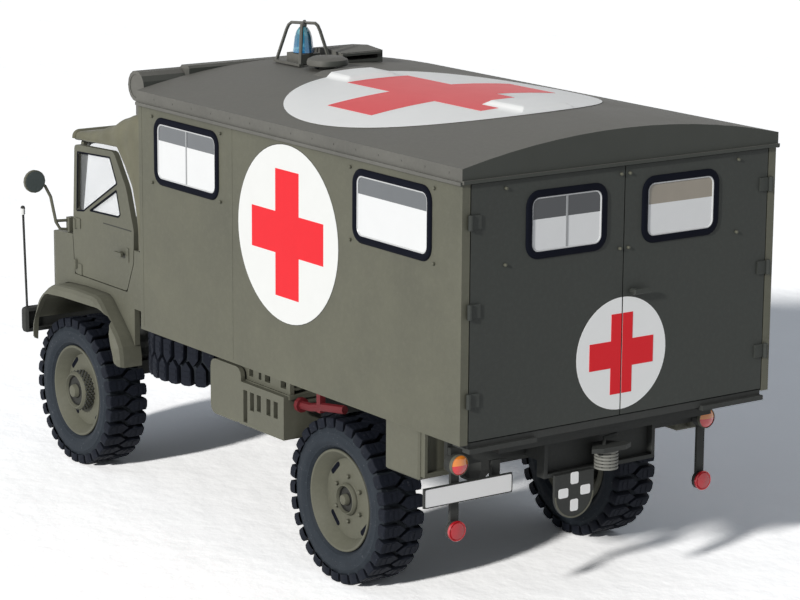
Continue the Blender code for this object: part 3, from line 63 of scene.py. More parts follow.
REAR_WINDOW_Z = 0.0614
REAR_WINDOW_SIZE = (0.0148, 0.0099)
WINDOW_CORNER = 0.0022
SIDES = ((1, "left"), (-1, "right"))


def at(x, y, z):
    return Vector((x + REAR_AXLE_X, y, z))


def put(name, data):
    """A new object in the scene."""
    made = bpy.data.objects.new(name, data)
    bpy.context.scene.collection.objects.link(made)
    return made


# Camera, as the photograph was taken

CAMERA_PLACE = (-0.35508, 0.26811, 0.14066)
CAMERA_TURN = (-35.5, 12.55, 0.39)       # yaw, pitch and roll in degrees
FOCAL_PIXELS = 2886.9
PHOTO_WIDTH = 800


def place_camera():
    yaw, pitch, roll = (radians(angle) for angle in CAMERA_TURN)
    ahead = Vector((cos(yaw) * cos(pitch), sin(yaw) * cos(pitch), -sin(pitch)))
    right = ahead.cross(Vector((0, 0, 1))).normalized()
    up = right.cross(ahead)
    side = cos(roll) * right + sin(roll) * up
    top = -sin(roll) * right + cos(roll) * up
    turn = Matrix((side, top, -ahead)).transposed().to_4x4()
    lens = bpy.data.cameras.new("camera")
    lens.sensor_width = 36.0
    lens.lens = lens.sensor_width * FOCAL_PIXELS / PHOTO_WIDTH
    lens.clip_start = 0.01
    camera = put("camera", lens)
    camera.matrix_world = Matrix.Translation(at(*CAMERA_PLACE)) @ turn
    bpy.context.scene.camera = camera


# Materials

class Nodes:
    """Short calls for a material's node tree."""

    def __init__(self, name):
        self.material = bpy.data.materials.new(name)
        self.material.use_nodes = True
        self.tree = self.material.node_tree
        self.shader = self.tree.nodes["Principled BSDF"]
        self.place = self.add("ShaderNodeTexCoord").outputs["Object"]

    def add(self, kind, values=(), **settings):
        """A new node with its settings and its sockets' values."""
        node = self.tree.nodes.new(kind)
        for key, value in settings.items():
            setattr(node, key, value)
        for key, value in dict(values).items():
            node.inputs[key].default_value = value
        return node

    def join(self, output, socket):
        self.tree.links.new(output, socket)

    def noise(self, scale, detail=3.0, roughness=0.55, distortion=0.0):
        node = self.add("ShaderNodeTexNoise", {
            "Scale": scale, "Detail": detail, "Roughness": roughness,
            "Distortion": distortion})
        self.join(self.place, node.inputs["Vector"])
        return node.outputs["Fac"]

    def ramp(self, value, low, high, start=0.0, end=1.0):
        """Map a value between two limits onto a range."""
        node = self.add("ShaderNodeMapRange", {"From Min": low, "From Max": high,
                                               "To Min": start, "To Max": end})
        self.join(value, node.inputs["Value"])
        return node.outputs["Result"]

    def sum(self, first, second, kind="ADD"):
        node = self.add("ShaderNodeMath", operation=kind)
        for socket, value in zip(node.inputs, (first, second)):
            if isinstance(value, (int, float)):
                socket.default_value = value
            else:
                self.join(value, socket)
        return node.outputs[0]

    def mix(self, factor, first, second):
        node = self.add("ShaderNodeMix", data_type="RGBA")
        for name, value in (("Factor_Float", factor), ("A_Color", first), ("B_Color", second)):
            socket = next(s for s in node.inputs if s.identifier == name)
            if isinstance(value, tuple):
                socket.default_value = (*value, 1.0)
            elif isinstance(value, (int, float)):
                socket.default_value = value
            else:
                self.join(value, socket)
        return next(s for s in node.outputs if s.identifier == "Result_Color")

    def bump(self, height, strength, distance, shader=None):
        node = self.add("ShaderNodeBump", {"Strength": strength, "Distance": distance})
        self.join(height, node.inputs["Height"])
        bumped = self.shader if shader is None else shader
        self.join(node.outputs["Normal"], bumped.inputs["Normal"])

    def shadowed(self, distance):
        """How open a point is: 1 on a free face, less in a crevice."""
        return self.add("ShaderNodeAmbientOcclusion", {"Distance": distance},
                        samples=8).outputs["AO"]

    def colour(self, value):
        socket = self.shader.inputs["Base Color"]
        if isinstance(value, tuple):
            socket.default_value = (*value, 1.0)
        else:
            self.join(value, socket)

    def rough(self, value, start, end, top=1):
        """Roughness from one value to another as a mask goes from 0 to its top."""
        self.join(self.ramp(value, 0, top, start, end), self.shader.inputs["Roughness"])

    def set(self, **values):
        names = {"roughness": "Roughness", "alpha": "Alpha", "coat": "Coat Weight",
                 "coat_roughness": "Coat Roughness", "sheen": "Sheen Weight",
                 "specular": "Specular IOR Level"}
        for key, value in values.items():
            self.shader.inputs[names[key]].default_value = value


def tint(colour, gain, lift=0.0):
    """A darker or paler tone of a colour."""
    return tuple(min(1.0, channel * gain + lift) for channel in colour)


def paint(name, colour, roughness=0.6, crevice_shade_amount=0.55, wear=0.35, grain=1.0, behind=None):
    """Sprayed matt paint: cloudy tone, fine grain, painted shade in the crevices, pale edges.
    """
    make = Nodes(name)
    cloud = make.ramp(make.noise(70, 5, 0.62), 0.3, 0.7)
    tone = make.mix(cloud, tint(colour, 0.84), tint(colour, 1.14))
    dust = make.ramp(make.noise(1400, 3, 0.7), 0.45, 0.8, 0.0, 0.16 * grain)
    tone = make.mix(dust, tone, tint(colour, 1.5, 0.03))
    # Painted shade: the colour darkens where ambient occlusion finds a crevice
    open_face = make.ramp(make.shadowed(0.0012), 0.35, 0.95)
    crevice = make.sum(make.sum(1.0, open_face, "SUBTRACT"), crevice_shade_amount, "MULTIPLY")
    tone = make.mix(crevice, tone, tint(colour, 0.30))
    round_edge = make.add("ShaderNodeBevel", {"Radius": 0.00016}, samples=4)
    flat = make.add("ShaderNodeNewGeometry").outputs["Normal"]
    alike = make.add("ShaderNodeVectorMath", operation="DOT_PRODUCT")
    make.join(round_edge.outputs["Normal"], alike.inputs[0])
    make.join(flat, alike.inputs[1])
    edge = make.ramp(alike.outputs["Value"], 0.97, 0.80, 0.0, wear)
    edge = make.sum(edge, make.ramp(make.noise(500, 4, 0.7), 0.42, 0.62), "MULTIPLY")
    tone = make.mix(edge, tone, tint(colour, 1.9, 0.04))
    if behind:
        # Faces that look rearward take the darker colour given: painted shade, as the rear
        # lies out of the sun
        facing = make.add("ShaderNodeSeparateXYZ")
        make.join(make.add("ShaderNodeTexCoord").outputs["Normal"], facing.inputs["Vector"])
        tone = make.mix(make.ramp(facing.outputs["X"], -0.9, -0.6, 1.0, 0.0), tone, behind)
    make.colour(tone)
    make.rough(cloud, roughness - 0.06, roughness + 0.08)
    make.set(specular=0.3)
    make.bump(make.noise(2600, 4, 0.6), 0.10 * grain, 0.0001)
    return make.material


def cloth(name, colour):
    """Moulded canvas: a fine weave, broad folds and faded high spots."""
    make = Nodes(name)
    waves = []
    for axis in ("X", "Y"):
        node = make.add("ShaderNodeTexWave", {"Scale": 1500, "Distortion": 0.4},
                        bands_direction=axis)
        make.join(make.place, node.inputs["Vector"])
        waves.append(node.outputs["Fac"])
    weave = make.sum(waves[0], waves[1])
    folds = make.noise(110, 4, 0.5, 0.8)
    tone = make.mix(make.ramp(folds, 0.3, 0.7), tint(colour, 0.80), tint(colour, 1.18))
    tone = make.mix(make.ramp(weave, 0, 2, 0.0, 0.16), tone, tint(colour, 0.5))
    # Painted shade: darker where ambient occlusion finds hollows in the cloth
    open_face = make.ramp(make.shadowed(0.0014), 0.35, 0.95, 0.5, 0.0)
    tone = make.mix(open_face, tone, tint(colour, 0.35))
    make.colour(tone)
    make.set(roughness=0.92, sheen=0.15)
    height = make.sum(make.sum(weave, 0.10, "MULTIPLY"), folds)
    make.bump(height, 0.35, 0.0003)
    return make.material


def rubber(name, colour, roughness=0.78, dusty=1.0):
    """Tyre rubber with a dusty, slightly worn skin."""
    make = Nodes(name)
    dust = make.ramp(make.noise(420, 6, 0.72), 0.48, 0.78, 0.0, 0.35 * dusty)
    tone = make.mix(dust, colour, tint(colour, 1.9, 0.03))
    fleck = make.ramp(make.noise(2600, 2, 0.5), 0.66, 0.76, 0.0, 0.45 * dusty)
    tone = make.mix(fleck, tone, (0.16, 0.17, 0.19))
    # Painted shade: darker where ambient occlusion finds the gaps between lugs and ribs
    closed = make.ramp(make.shadowed(0.0010), 0.3, 0.95, 0.6, 0.0)
    make.colour(make.mix(closed, tone, tint(colour, 0.35)))
    make.rough(dust, roughness - 0.12, roughness + 0.1, 0.35)
    make.set(specular=0.2)
    make.bump(make.noise(1500, 6, 0.75), 0.40, 0.00016)
    return make.material


def decal(name, colour, mottle):
    """Waterslide decal: nearly flat colour with faint stains."""
    make = Nodes(name)
    stain = make.ramp(make.noise(240, 6, 0.7), 0.40, 0.80, 0.0, mottle)
    make.colour(make.mix(stain, colour, tint(colour, 0.72)))
    make.set(specular=0.3)
    make.rough(stain, 0.42, 0.60)
    make.bump(make.noise(900, 3, 0.5), 0.05, 0.0001)
    return make.material


def plastic(name, colour, roughness, mottle=0.12, **extra):
    """Smooth moulded plastic or thin gloss paint with a little unevenness."""
    make = Nodes(name)
    patch = make.ramp(make.noise(300, 4, 0.6), 0.3, 0.7, 0.0, mottle)
    make.colour(make.mix(patch, colour, tint(colour, 0.6)))
    make.rough(patch, roughness, min(1.0, roughness + 0.2))
    make.set(**extra)
    return make.material


def clear(name, colour, alpha):
    """Clear moulded sheet: mostly see-through, with a bright skin."""
    make = Nodes(name)
    smear = make.ramp(make.noise(160, 5, 0.6), 0.35, 0.75, 0.06, 0.18)
    make.join(smear, make.shader.inputs["Roughness"])
    haze = make.ramp(make.noise(90, 3, 0.5), 0.3, 0.8, 0.0, 0.25)
    make.colour(make.mix(haze, colour, (0.8, 0.82, 0.84)))
    make.set(alpha=alpha, specular=0.7)
    return make.material


BEACON_LOW = 0.0760
BEACON_HIGH = 0.0803


def beacon_lens(name):
    """Blue lens: deep blue at the foot, teal at the top, with pale patches of painted
    highlight.
    """
    make = Nodes(name)
    split = make.add("ShaderNodeSeparateXYZ")
    make.join(make.place, split.inputs["Vector"])
    height = make.ramp(split.outputs["Z"], BEACON_LOW, BEACON_HIGH)
    tone = make.mix(height, (0.010, 0.15, 0.36), (0.015, 0.17, 0.22))
    # Pale cyan patches stand for the lens's glints: painted highlight
    painted_highlight = make.ramp(make.noise(620, 3, 0.6), 0.52, 0.70, 0.0, 0.7)
    make.colour(make.mix(painted_highlight, tone, (0.25, 0.62, 0.70)))
    make.set(roughness=0.08, coat=1.0, alpha=0.94)
    return make.material


def seen(tree):
    """1 for the rays that show a backdrop: from the camera, or by gloss or glass."""
    path = tree.nodes.new("ShaderNodeLightPath")
    total = path.outputs["Is Camera Ray"]
    for name in ("Is Glossy Ray", "Is Transmission Ray"):
        more = tree.nodes.new("ShaderNodeMath")
        more.operation = "MAXIMUM"
        tree.links.new(total, more.inputs[0])
        tree.links.new(path.outputs[name], more.inputs[1])
        total = more.outputs[0]
    return total


FLOOR_SEEN = 2.12        # how much paler the floor looks to the rays that show it


def floor_material():
    """White paper that keeps the shadow. Only the rays that show it see it brightened."""
    make = Nodes("floor")
    tone = make.mix(make.ramp(make.noise(30, 6, 0.65), 0.3, 0.7), (0.90, 0.90, 0.91),
                    (0.95, 0.95, 0.96))
    gain = make.ramp(seen(make.tree), 0, 1, 1.0, FLOOR_SEEN)
    scale = make.add("ShaderNodeVectorMath", operation="SCALE")
    make.join(tone, scale.inputs[0])
    make.join(gain, scale.inputs["Scale"])
    paper = make.add("ShaderNodeBsdfDiffuse")
    make.join(scale.outputs[0], paper.inputs["Color"])
    make.join(paper.outputs[0], make.tree.nodes["Material Output"].inputs["Surface"])
    make.bump(make.noise(120, 5, 0.6), 0.15, 0.002, paper)
    return make.material


def make_materials():
    return {
        "side": paint("olive_side", (0.114, 0.114, 0.086), 0.60),
        # The roof's rearward faces get the rear's painted shade
        "roof": paint("olive_roof", (0.128, 0.126, 0.114), 0.66, behind=(0.048, 0.052, 0.046)),
        "cab": paint("olive_cab", (0.118, 0.118, 0.090), 0.58),
        # Near-black olive: the chassis olive darkened as painted shade of the body above it;
        # also used on some fittings
        "frame": paint("olive_frame_painted_shade", (0.034, 0.036, 0.034), 0.70, 0.80, 0.4),
        # Olive of the rear doors, darkened as painted shade: the rear faces away from the sun
        "rear": paint("olive_rear_painted_shade", (0.038, 0.042, 0.038), 0.62),
        # Near-black paint for edges, borders and joints, and as painted shade in the hubs'
        # recesses
        "dark": paint("dark_edges_and_recess_shade", (0.030, 0.031, 0.028), 0.7, 0.5, 0.2),
        "cloth": cloth("canvas_cloth", (0.150, 0.145, 0.098)),
        "tyre": rubber("tyre_side_rubber", (0.019, 0.025, 0.033)),
        "tread": rubber("tyre_tread_rubber", (0.004, 0.006, 0.012), 0.85, 0.4),
        "seal": plastic("window_seal", (0.003, 0.004, 0.009), 0.8, 0.3, specular=0.1),
        # One decal white in two copies: 0.80 where the sun falls, and a paler copy for the
        # rear and roof discs, brightened as painted light where less light falls
        "white": decal("decal_white", (0.80, 0.81, 0.80), 0.10),
        "red": decal("decal_red", (0.80, 0.008, 0.018), 0.12),
        "white_shade": decal("decal_white_brightened_in_shade", (0.95, 0.96, 0.96), 0.08),
        "frost": plastic("frosted_sheet", (0.80, 0.81, 0.82), 0.30, 0.05, coat=0.3),
        # Dark grey under a clear coat: painted shade of the unlit inside, seen through the
        # side windows' clear strips
        "clear_over_inner_shade": plastic("clear_sheet_over_painted_shade", (0.105, 0.115, 0.125), 0.12, 0.2,
                         coat=0.6, coat_roughness=0.05),
        "tan": plastic("clear_sheet_over_tan", (0.30, 0.26, 0.20), 0.12, 0.2, coat=0.6),
        "deep": plastic("clear_sheet_over_shade", (0.026, 0.030, 0.036), 0.12, 0.2,
                        coat=0.5, coat_roughness=0.05),
        "silver": plastic("pale_window_lip", (0.60, 0.61, 0.62), 0.28, 0.1),
        "bar": plastic("grey_window_bar", (0.34, 0.35, 0.36), 0.3, 0.1),
        "glass": clear("cab_glass", (0.75, 0.78, 0.80), 0.12),
        "orange": plastic("orange_lens", (0.95, 0.28, 0.03), 0.15, 0.1, coat=0.8),
        "lens_red": plastic("red_lens", (0.80, 0.02, 0.03), 0.15, 0.15, coat=0.8),
        "reflector": plastic("red_reflector", (0.52, 0.012, 0.022), 0.25, 0.2, coat=0.4),
        "pipe": plastic("red_pipe_paint", (0.13, 0.006, 0.010), 0.60, 0.35),
        "bare": paint("pale_metal_paint", (0.22, 0.22, 0.20), 0.55),
        "mirror_back": plastic("mirror_grey", (0.085, 0.105, 0.105), 0.35, 0.2),
        "blue": beacon_lens("beacon_blue_lens"),
        "plate": decal("plate_white_paint", (0.95, 0.95, 0.95), 0.05),
        "seat": cloth("seat_cover", (0.030, 0.030, 0.030)),
        "lamp": plastic("lamp_glass", (0.72, 0.74, 0.76), 0.08, 0.15, coat=1.0),
    }


# Mesh helpers

def add(name, bm, look, body="chassis", smooth=35):
    """A finished mesh that rides on a body."""
    bmesh.ops.recalc_face_normals(bm, faces=bm.faces)
    mesh = bpy.data.meshes.new(name)
    bm.to_mesh(mesh)
    bm.free()
    mesh.materials.append(paints[look])
    mesh.shade_smooth()
    mesh.set_sharp_from_angle(angle=radians(smooth))
    made = put(name, mesh)
    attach(made, body)
    return made


def rounded_rectangle(width, height, radius, steps=5):
    """Points of a rounded rectangle round the origin, anticlockwise."""
    points = []
    for index, (a, b) in enumerate(((1, 1), (-1, 1), (-1, -1), (1, -1))):
        for step in range(steps + 1):
            angle = (index + step / steps) * pi / 2
            points.append((a * (width / 2 - radius) + radius * cos(angle),
                           b * (height / 2 - radius) + radius * sin(angle)))
    return points


def polar(radius, angle):
    return radius * cos(angle), radius * sin(angle)


def rectangle(low_u, high_u, low_v, high_v):
    return [(low_u, low_v), (high_u, low_v), (high_u, high_v), (low_u, high_v)]


def bridge(bm, rings):
    """Faces between each ring of points and the next."""
    count = len(rings[0])
    faces = []
    for first, second in zip(rings, rings[1:]):
        for k in range(count):
            j = (k + 1) % count
            faces.append(bm.faces.new((first[k], first[j], second[j], second[k])))
    return faces


def sweep(path, profile, place):
    """Sweep a closed profile of (inward, outward) offsets along a flat closed path."""
    bm = bmesh.new()
    count = len(path)
    rings = []
    for index in range(count):
        before = Vector(path[index - 1])
        after = Vector(path[(index + 1) % count])
        along = (after - before).normalized()
        inward = Vector((-along.y, along.x))
        here = Vector(path[index])
        ring = []
        for offset, out in profile:
            spot = here + inward * offset
            ring.append(bm.verts.new(place(spot.x, spot.y, out)))
        rings.append(ring)
    bridge(bm, rings + rings[:1])
    return bm


def slab(outline, place, low, high):
    """A flat plate between two heights over a plane."""
    bm = bmesh.new()
    top = [bm.verts.new(place(u, v, high)) for u, v in outline]
    bottom = [bm.verts.new(place(u, v, low)) for u, v in outline]
    bm.faces.new(top)
    bm.faces.new(list(reversed(bottom)))
    bridge(bm, [top, bottom])
    return bm


def lathe(profile, place, steps=32):
    """Turn a profile of (radius, height); radius 0 closes an end."""
    bm = bmesh.new()
    rings = []
    for radius, height in profile:
        if radius < 1e-9:
            rings.append([bm.verts.new(place(0, 0, height))])
        else:
            rings.append([bm.verts.new(place(*polar(radius, 2 * pi * k / steps), height))
                          for k in range(steps)])
    for first, second in zip(rings, rings[1:]):
        for k in range(steps):
            j = (k + 1) % steps
            corners = []
            for ring, index in ((first, k), (first, j), (second, j), (second, k)):
                vertex = ring[0] if len(ring) == 1 else ring[index]
                if vertex not in corners:
                    corners.append(vertex)
            if len(corners) > 2:
                bm.faces.new(corners)
    return bm


def merge(target, source):
    """Put one mesh's faces into another."""
    mesh = bpy.data.meshes.new("merge")
    source.to_mesh(mesh)
    source.free()
    target.from_mesh(mesh)
    bpy.data.meshes.remove(mesh)
    return target


# Planes that pieces are drawn on: (u, v, height over the surface)

def to_side(y, side, x=0.0, z=0.0):
    return lambda u, v, h: at(x + u, side * (y + h), z + v)


def to_rear(x, y, z):
    return lambda u, v, h: at(x - h, y + u, z + v)


def to_top(x, y, z=0.0):
    return lambda u, v, h: at(x + u, y + v, z + h)


def shifted(place, middle_u, middle_v):
    return lambda u, v, h: place(middle_u + u, middle_v + v, h)


def on_wall(x, z, side):
    return to_side(BODY_HALF, side, x, z)


def on_rear(y, z):
    return to_rear(BODY_REAR, y, z)


def roof_height(y):
    rise = ROOF_CROWN - FASCIA_TOP
    radius = (ROOF_OUT * ROOF_OUT + rise * rise) / (2 * rise)
    return ROOF_CROWN - radius + sqrt(radius * radius - y * y)


# Tyres and wheels

AXLE_TURN = Matrix.Rotation(-pi / 2, 3, "X")
LUGS = 30              # in each of the two rows
TREAD_DEPTH = 0.00105
LUG_FOOT = 0.0003      # how far a lug's inner half goes below the tread's root
# ribs of the tyre's side: radius over the rim's, width as a share of half the tyre's
TYRE_SIDE = ((0.0006, 0.88), (0.0009, 0.90), (0.0011, 0.95), (0.0017, 0.985),
             (0.0019, 0.965), (0.0027, 0.97), (0.0029, 0.93))


def tyre_mesh(place):
    """Carcass with ribbed sides, and two rows of staggered lugs with a zigzag between."""
    half = TYRE_WIDTH / 2
    root = TYRE_RADIUS - TREAD_DEPTH
    seat = RIM_WIDTH / 2 * 0.84 - 0.0001
    side = [(RIM_RADIUS - 0.0004, seat), (RIM_RADIUS + 0.0002, seat + 0.0002)]
    side += [(RIM_RADIUS + rise, half * share) for rise, share in TYRE_SIDE]
    side += [(root - 0.0006, half * 0.90), (root, half * 0.80)]
    profile = [(r, -w) for r, w in side] + [(root, 0.0)] + [(r, w) for r, w in reversed(side)]
    bm = lathe(profile + [profile[0]], place, 90)
    bmesh.ops.remove_doubles(bm, verts=bm.verts, dist=0.000002)
    pitch = 2 * pi / LUGS
    for row in (1, -1):
        for lug in range(LUGS):
            middle = (lug + (0.25 if row > 0 else -0.25)) * pitch
            # angle as a share of the pitch, distance along the axle, radius at top and foot
            outline = [(-0.35, half * 0.93), (-0.14, half * 0.985), (0.24, half * 0.985),
                       (0.38, half * 0.93), (0.35, half * 0.22), (0.02, -half * 0.09),
                       (-0.33, half * 0.22)]
            rings = []
            for reach, radius, grow in ((1.0, TYRE_RADIUS - 0.0016, 1.10),
                                        (1.0, TYRE_RADIUS - 0.0008, 1.06),
                                        (0.985, TYRE_RADIUS - 0.00018, 1.0),
                                        (0.95, TYRE_RADIUS - 0.00007, 0.93)):
                ring = []
                for share, along in outline:
                    angle = middle + share * pitch * grow
                    deep = max(radius, root - LUG_FOOT) if along < half * 0.5 else radius
                    ring.append(bm.verts.new(place(*polar(deep, angle),
                                                   row * along * reach)))
                # The other row is a mirror image, so its rings run the other way
                rings.append(ring[::row])
            for face in bridge(bm, rings) + [bm.faces.new(rings[-1])]:
                face.material_index = 1
            # A sipe across each lug, drawn as a raised pair of bars on its top
            for along in (half * 0.40, half * 0.66):
                bar = []
                for share in (-0.27, 0.27):
                    for shift in (-half * 0.085, half * 0.085):
                        angle = middle + share * pitch
                        for radius in (TYRE_RADIUS - 0.00015, TYRE_RADIUS):
                            bar.append(bm.verts.new(place(*polar(radius, angle),
                                                          row * (along + shift))))
                for face in ((0, 1, 3, 2), (4, 6, 7, 5), (0, 4, 5, 1), (2, 3, 7, 6),
                             (1, 5, 7, 3)):
                    bm.faces.new([bar[i] for i in face]).material_index = 1
    return bm


def around(centre, turn):
    """Place points of a wheel: its axle is the local Z."""
    return lambda u, v, w: centre + turn @ Vector((u, v, w))


# radius of the hub, and its outer face from the wheel's middle
HUB_RADIUS, HUB_FACE = 0.0034, 0.0037
REAR_HUB = (0.00255, 0.0022)
HUB_DIP = 0.0007
# from the middle out: share of the hub's radius, rise over its face
HUB_FORM = ((0.0, 0.0002), (0.31, 0.0002), (0.33, 0.0001), (0.36, -0.0006),
            (0.38, -HUB_DIP), (0.75, -HUB_DIP), (0.77, -0.0006), (0.86, 0.0),
            (0.90, -0.00005), (0.98, -0.0004), (1.0, -0.0005))
KNURL_ROWS, KNURL_TEETH = 5, 24
SLOT_RADIUS = 0.0057
SLOT_SIZE = (0.0028, 0.0008)
BOLT_RADIUS = 0.0036


def hub_knurl(place, out):
    """Rows of small pyramids round the side of the projecting hub."""
    bm = bmesh.new()
    low, high = 0.00150, HUB_FACE - 0.0005
    for row in range(KNURL_ROWS):
        height = low + (high - low) * (row + 0.5) / KNURL_ROWS
        for tooth in range(KNURL_TEETH):
            angle = (tooth + 0.5 * (row % 2)) * 2 * pi / KNURL_TEETH
            foot = []
            for da, dh in ((-1, 0), (0, -1), (1, 0), (0, 1)):
                turned = angle + da * 0.46 * 2 * pi / KNURL_TEETH
                foot.append(bm.verts.new(place(*polar(HUB_RADIUS - 0.00005, turned),
                                               out * (height + dh * 0.00026))))
            top = bm.verts.new(place(*polar(HUB_RADIUS + 0.00024, angle), out * height))
            for k in range(4):
                bm.faces.new((foot[k], foot[(k + 1) % 4], top))
    return bm


def rim_mesh(place, out, driven):
    """Smooth turned rim of the same form as the frame's own."""
    half, barrel = RIM_WIDTH / 2, RIM_RADIUS - 0.0006
    hub, face = (HUB_RADIUS, HUB_FACE) if driven else REAR_HUB
    profile = [(hub * share, face + rise) for share, rise in HUB_FORM]
    profile += [(radius, half * share) for radius, share in (
        (hub, 0.45), (hub + 0.0001, 0.42), (0.0061, 0.32), (0.0063, 0.33),
        (barrel - 0.0007, 0.60), (barrel - 0.0002, 0.82), (RIM_RADIUS - 0.0004, 0.985),
        (RIM_RADIUS - 0.0002, 1.0), (RIM_RADIUS - 0.00006, 0.98), (RIM_RADIUS, 0.93),
        (barrel, 0.80), (barrel, -0.80), (RIM_RADIUS, -0.93), (RIM_RADIUS - 0.0003, -1.0),
        (barrel - 0.0007, -0.90), (barrel - 0.0007, 0.10), (0.0, 0.02))]
    return lathe([(radius, height * out) for radius, height in profile], place, 56)


def rim_slots(place, out):
    """The four slots of the disc, shown as dark gaps: sheets of painted shade where the holes
    are.
    """
    depth = RIM_WIDTH / 2 * 0.338
    bm = bmesh.new()
    for quarter in range(4):
        angle = (quarter + 0.5) * pi / 2

        def spot(p, q, h, angle=angle):
            u, v = p, SLOT_RADIUS + q
            return place(u * cos(angle) - v * sin(angle), u * sin(angle) + v * cos(angle),
                         out * (depth + h))

        merge(bm, slab(rounded_rectangle(*SLOT_SIZE, 0.00035, 4), spot, -0.0002, 0.00005))
    return bm


def make_wheel(name, place, out, body, driven, nodes):
    """Tyre, smooth rim, recess and cap of the hub, and its knurled side or bolts."""
    tyre = add("tyre_tread_" + name, tyre_mesh(place), "tyre", body, 38)
    tyre.data.materials.append(paints["tread"])
    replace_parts(tyre, nodes[0])
    rim = add("rim_smooth_" + name, rim_mesh(place, out, driven), "side", body, 28)
    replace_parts(rim, nodes[1])
    # Dark sheets in the slots: painted shade
    add("rim_slots_painted_shade_" + name, rim_slots(place, out), "seal", body, 28)
    radius, face = (HUB_RADIUS, HUB_FACE) if driven else REAR_HUB
    floor = face - HUB_DIP
    # A dark ring on the floor of the hub's recess: painted shade
    recess = [(0.755, floor + 0.0003), (0.74, floor), (0.70, floor + 0.00004),
              (0.375, floor + 0.00004), (0.365, floor + 0.0003)]
    cap = [(0.31, face + 0.0001), (0.31, face + 0.0003), (0.24, face + 0.00042),
           (0.0, face + 0.00045)]
    for part, profile, steps, look in (("hub_recess_shade_", recess, 28, "dark"),
                                       ("hub_cap_", cap, 16, "side")):
        profile = [(radius * share, out * height) for share, height in profile]
        add(part + name, lathe(profile, place, steps), look, body)
    if driven:
        add("hub_knurl_" + name, hub_knurl(place, out), "frame", body, 20)
        return
    bolts = bmesh.new()
    for bolt in range(6):
        angle = (bolt + 0.5) * pi / 3
        spot = shifted(place, *polar(BOLT_RADIUS, angle))
        merge(bolts, lathe([(0.00034, out * 0.0010), (0.00034, out * 0.0017),
                            (0.0002, out * 0.0018), (0.0, out * 0.0018)], spot, 6))
    add("hub_bolts_" + name, bolts, "side", body, 30)


def make_wheels():
    for end, x, driven in (("front_", WHEELBASE, True), ("rear_", 0.0, False)):
        for side, word in SIDES:
            name = end + word
            place = around(at(x, side * WHEEL_Y, TYRE_RADIUS), AXLE_TURN)
            make_wheel(name, place, side, "wheel_" + name, driven,
                       ("tyre_" + name, "rim_" + name))
    place = around(at(SPARE_X, SPARE_Y, SPARE_Z), Matrix.Identity(3))
    make_wheel("spare", place, 1, "chassis", False, ("spare_tyre", "spare_rim"))


# Windows, seals and knobs

# (inward, outward) offsets from the edge of the opening
SEAL_PROFILE = ((-0.0001, -0.0002), (-0.0001, 0.00010), (0.0001, 0.00030), (0.0005, 0.00034),
                (0.00094, 0.00020), (0.00104, -0.0002))
LIP_PROFILE = ((0.00098, -0.0002), (0.00098, 0.00012), (0.00109, 0.00015), (0.0012, 0.00006),
               (0.0012, -0.0002))
PANE_INSET = 0.00115
KNOB = ((0.00024, -0.0001), (0.00024, 0.0003), (0.00016, 0.0004), (0.0, 0.0004))
SIDE_KNOBS = ((-0.01054, 0.01054), (-0.00549, 0.00549))
REAR_KNOB_OUTER, REAR_KNOB_INNER = 0.0112, -0.0100
REAR_KNOB_HEIGHTS = (-0.0052, 0.0059)


def window(name, size, place, body, bar, upper, knobs_at, share=0.205):
    """Rubber surround, pale lip, clear strip over a frosted sheet, and corner knobs.

    Share is the height of the strip's lower edge over the middle, by the pane's height.
    """
    path = rounded_rectangle(*size, WINDOW_CORNER, 6)
    add("seal_" + name, sweep(path, SEAL_PROFILE, place), "seal", body, 50)
    add("lip_" + name, sweep(path, LIP_PROFILE, place), "silver", body, 50)
    width, height = (length - 2 * PANE_INSET for length in size)
    split = height * share
    outline = rounded_rectangle(width, height, WINDOW_CORNER - 0.0011, 5)
    top = [(u, v) for u, v in outline if v > split]
    top = [(width / 2, split)] + top + [(-width / 2, split)]
    low = [(u, v) for u, v in outline if v < split]
    # Starts where the lower corners start, so the two split corners go between
    left = [(u, v) for u, v in low if u < 0]
    right = [(u, v) for u, v in low if u >= 0]
    low = [(-width / 2, split)] + left + right + [(width / 2, split)]
    add("strip_" + name, slab(top, place, -0.00012, -0.00004), upper, body)
    add("sheet_" + name, slab(low, place, -0.00012, -0.00002), "frost", body)
    if bar:
        upright = rectangle(-0.00016, 0.00016, -height / 2, height / 2)
        add("bar_" + name, slab(upright, place, -0.0001, 0.00006), "bar", body)
    knobs = bmesh.new()
    for u in knobs_at[0]:
        for v in knobs_at[1]:
            merge(knobs, lathe(KNOB, shifted(place, u, v), 10))
    add("knobs_" + name, knobs, "side", body)


def make_windows():
    for side, word in SIDES:
        for name, x, bar in (("front", WINDOW_FRONT_X, True), ("rear", WINDOW_REAR_X, False)):
            window(name + "_" + word, WINDOW_SIZE, on_wall(x, WINDOW_Z, side), "chassis", bar,
                   "clear_over_inner_shade", SIDE_KNOBS)
        knobs_at = ((side * REAR_KNOB_OUTER, side * REAR_KNOB_INNER), REAR_KNOB_HEIGHTS)
        window("door_" + word, REAR_WINDOW_SIZE, on_rear(side * REAR_WINDOW_Y, REAR_WINDOW_Z),
               "rear_door_" + word, side > 0, "deep" if side > 0 else "tan", knobs_at, 0.10)


# Protective emblem: plain discs with a cross

# place along X and up, radius of the disc and of its dark edge, cross's length and width
SIDE_EMBLEM_X, SIDE_EMBLEM_Z = 0.00917, 0.05394
SIDE_DISC, SIDE_EDGE = 0.01397, 0.01407
SIDE_CROSS = (0.01998, 0.00651)
REAR_EMBLEM_Z = 0.04029
REAR_DISC, REAR_EDGE = 0.00854, 0.00863
REAR_CROSS = (0.0122, 0.0041)
DOOR_GAP = 0.00012         # half the slit between the rear doors
ROOF_DISC = 0.0250
ROOF_CROSS = (0.0356, 0.0119)


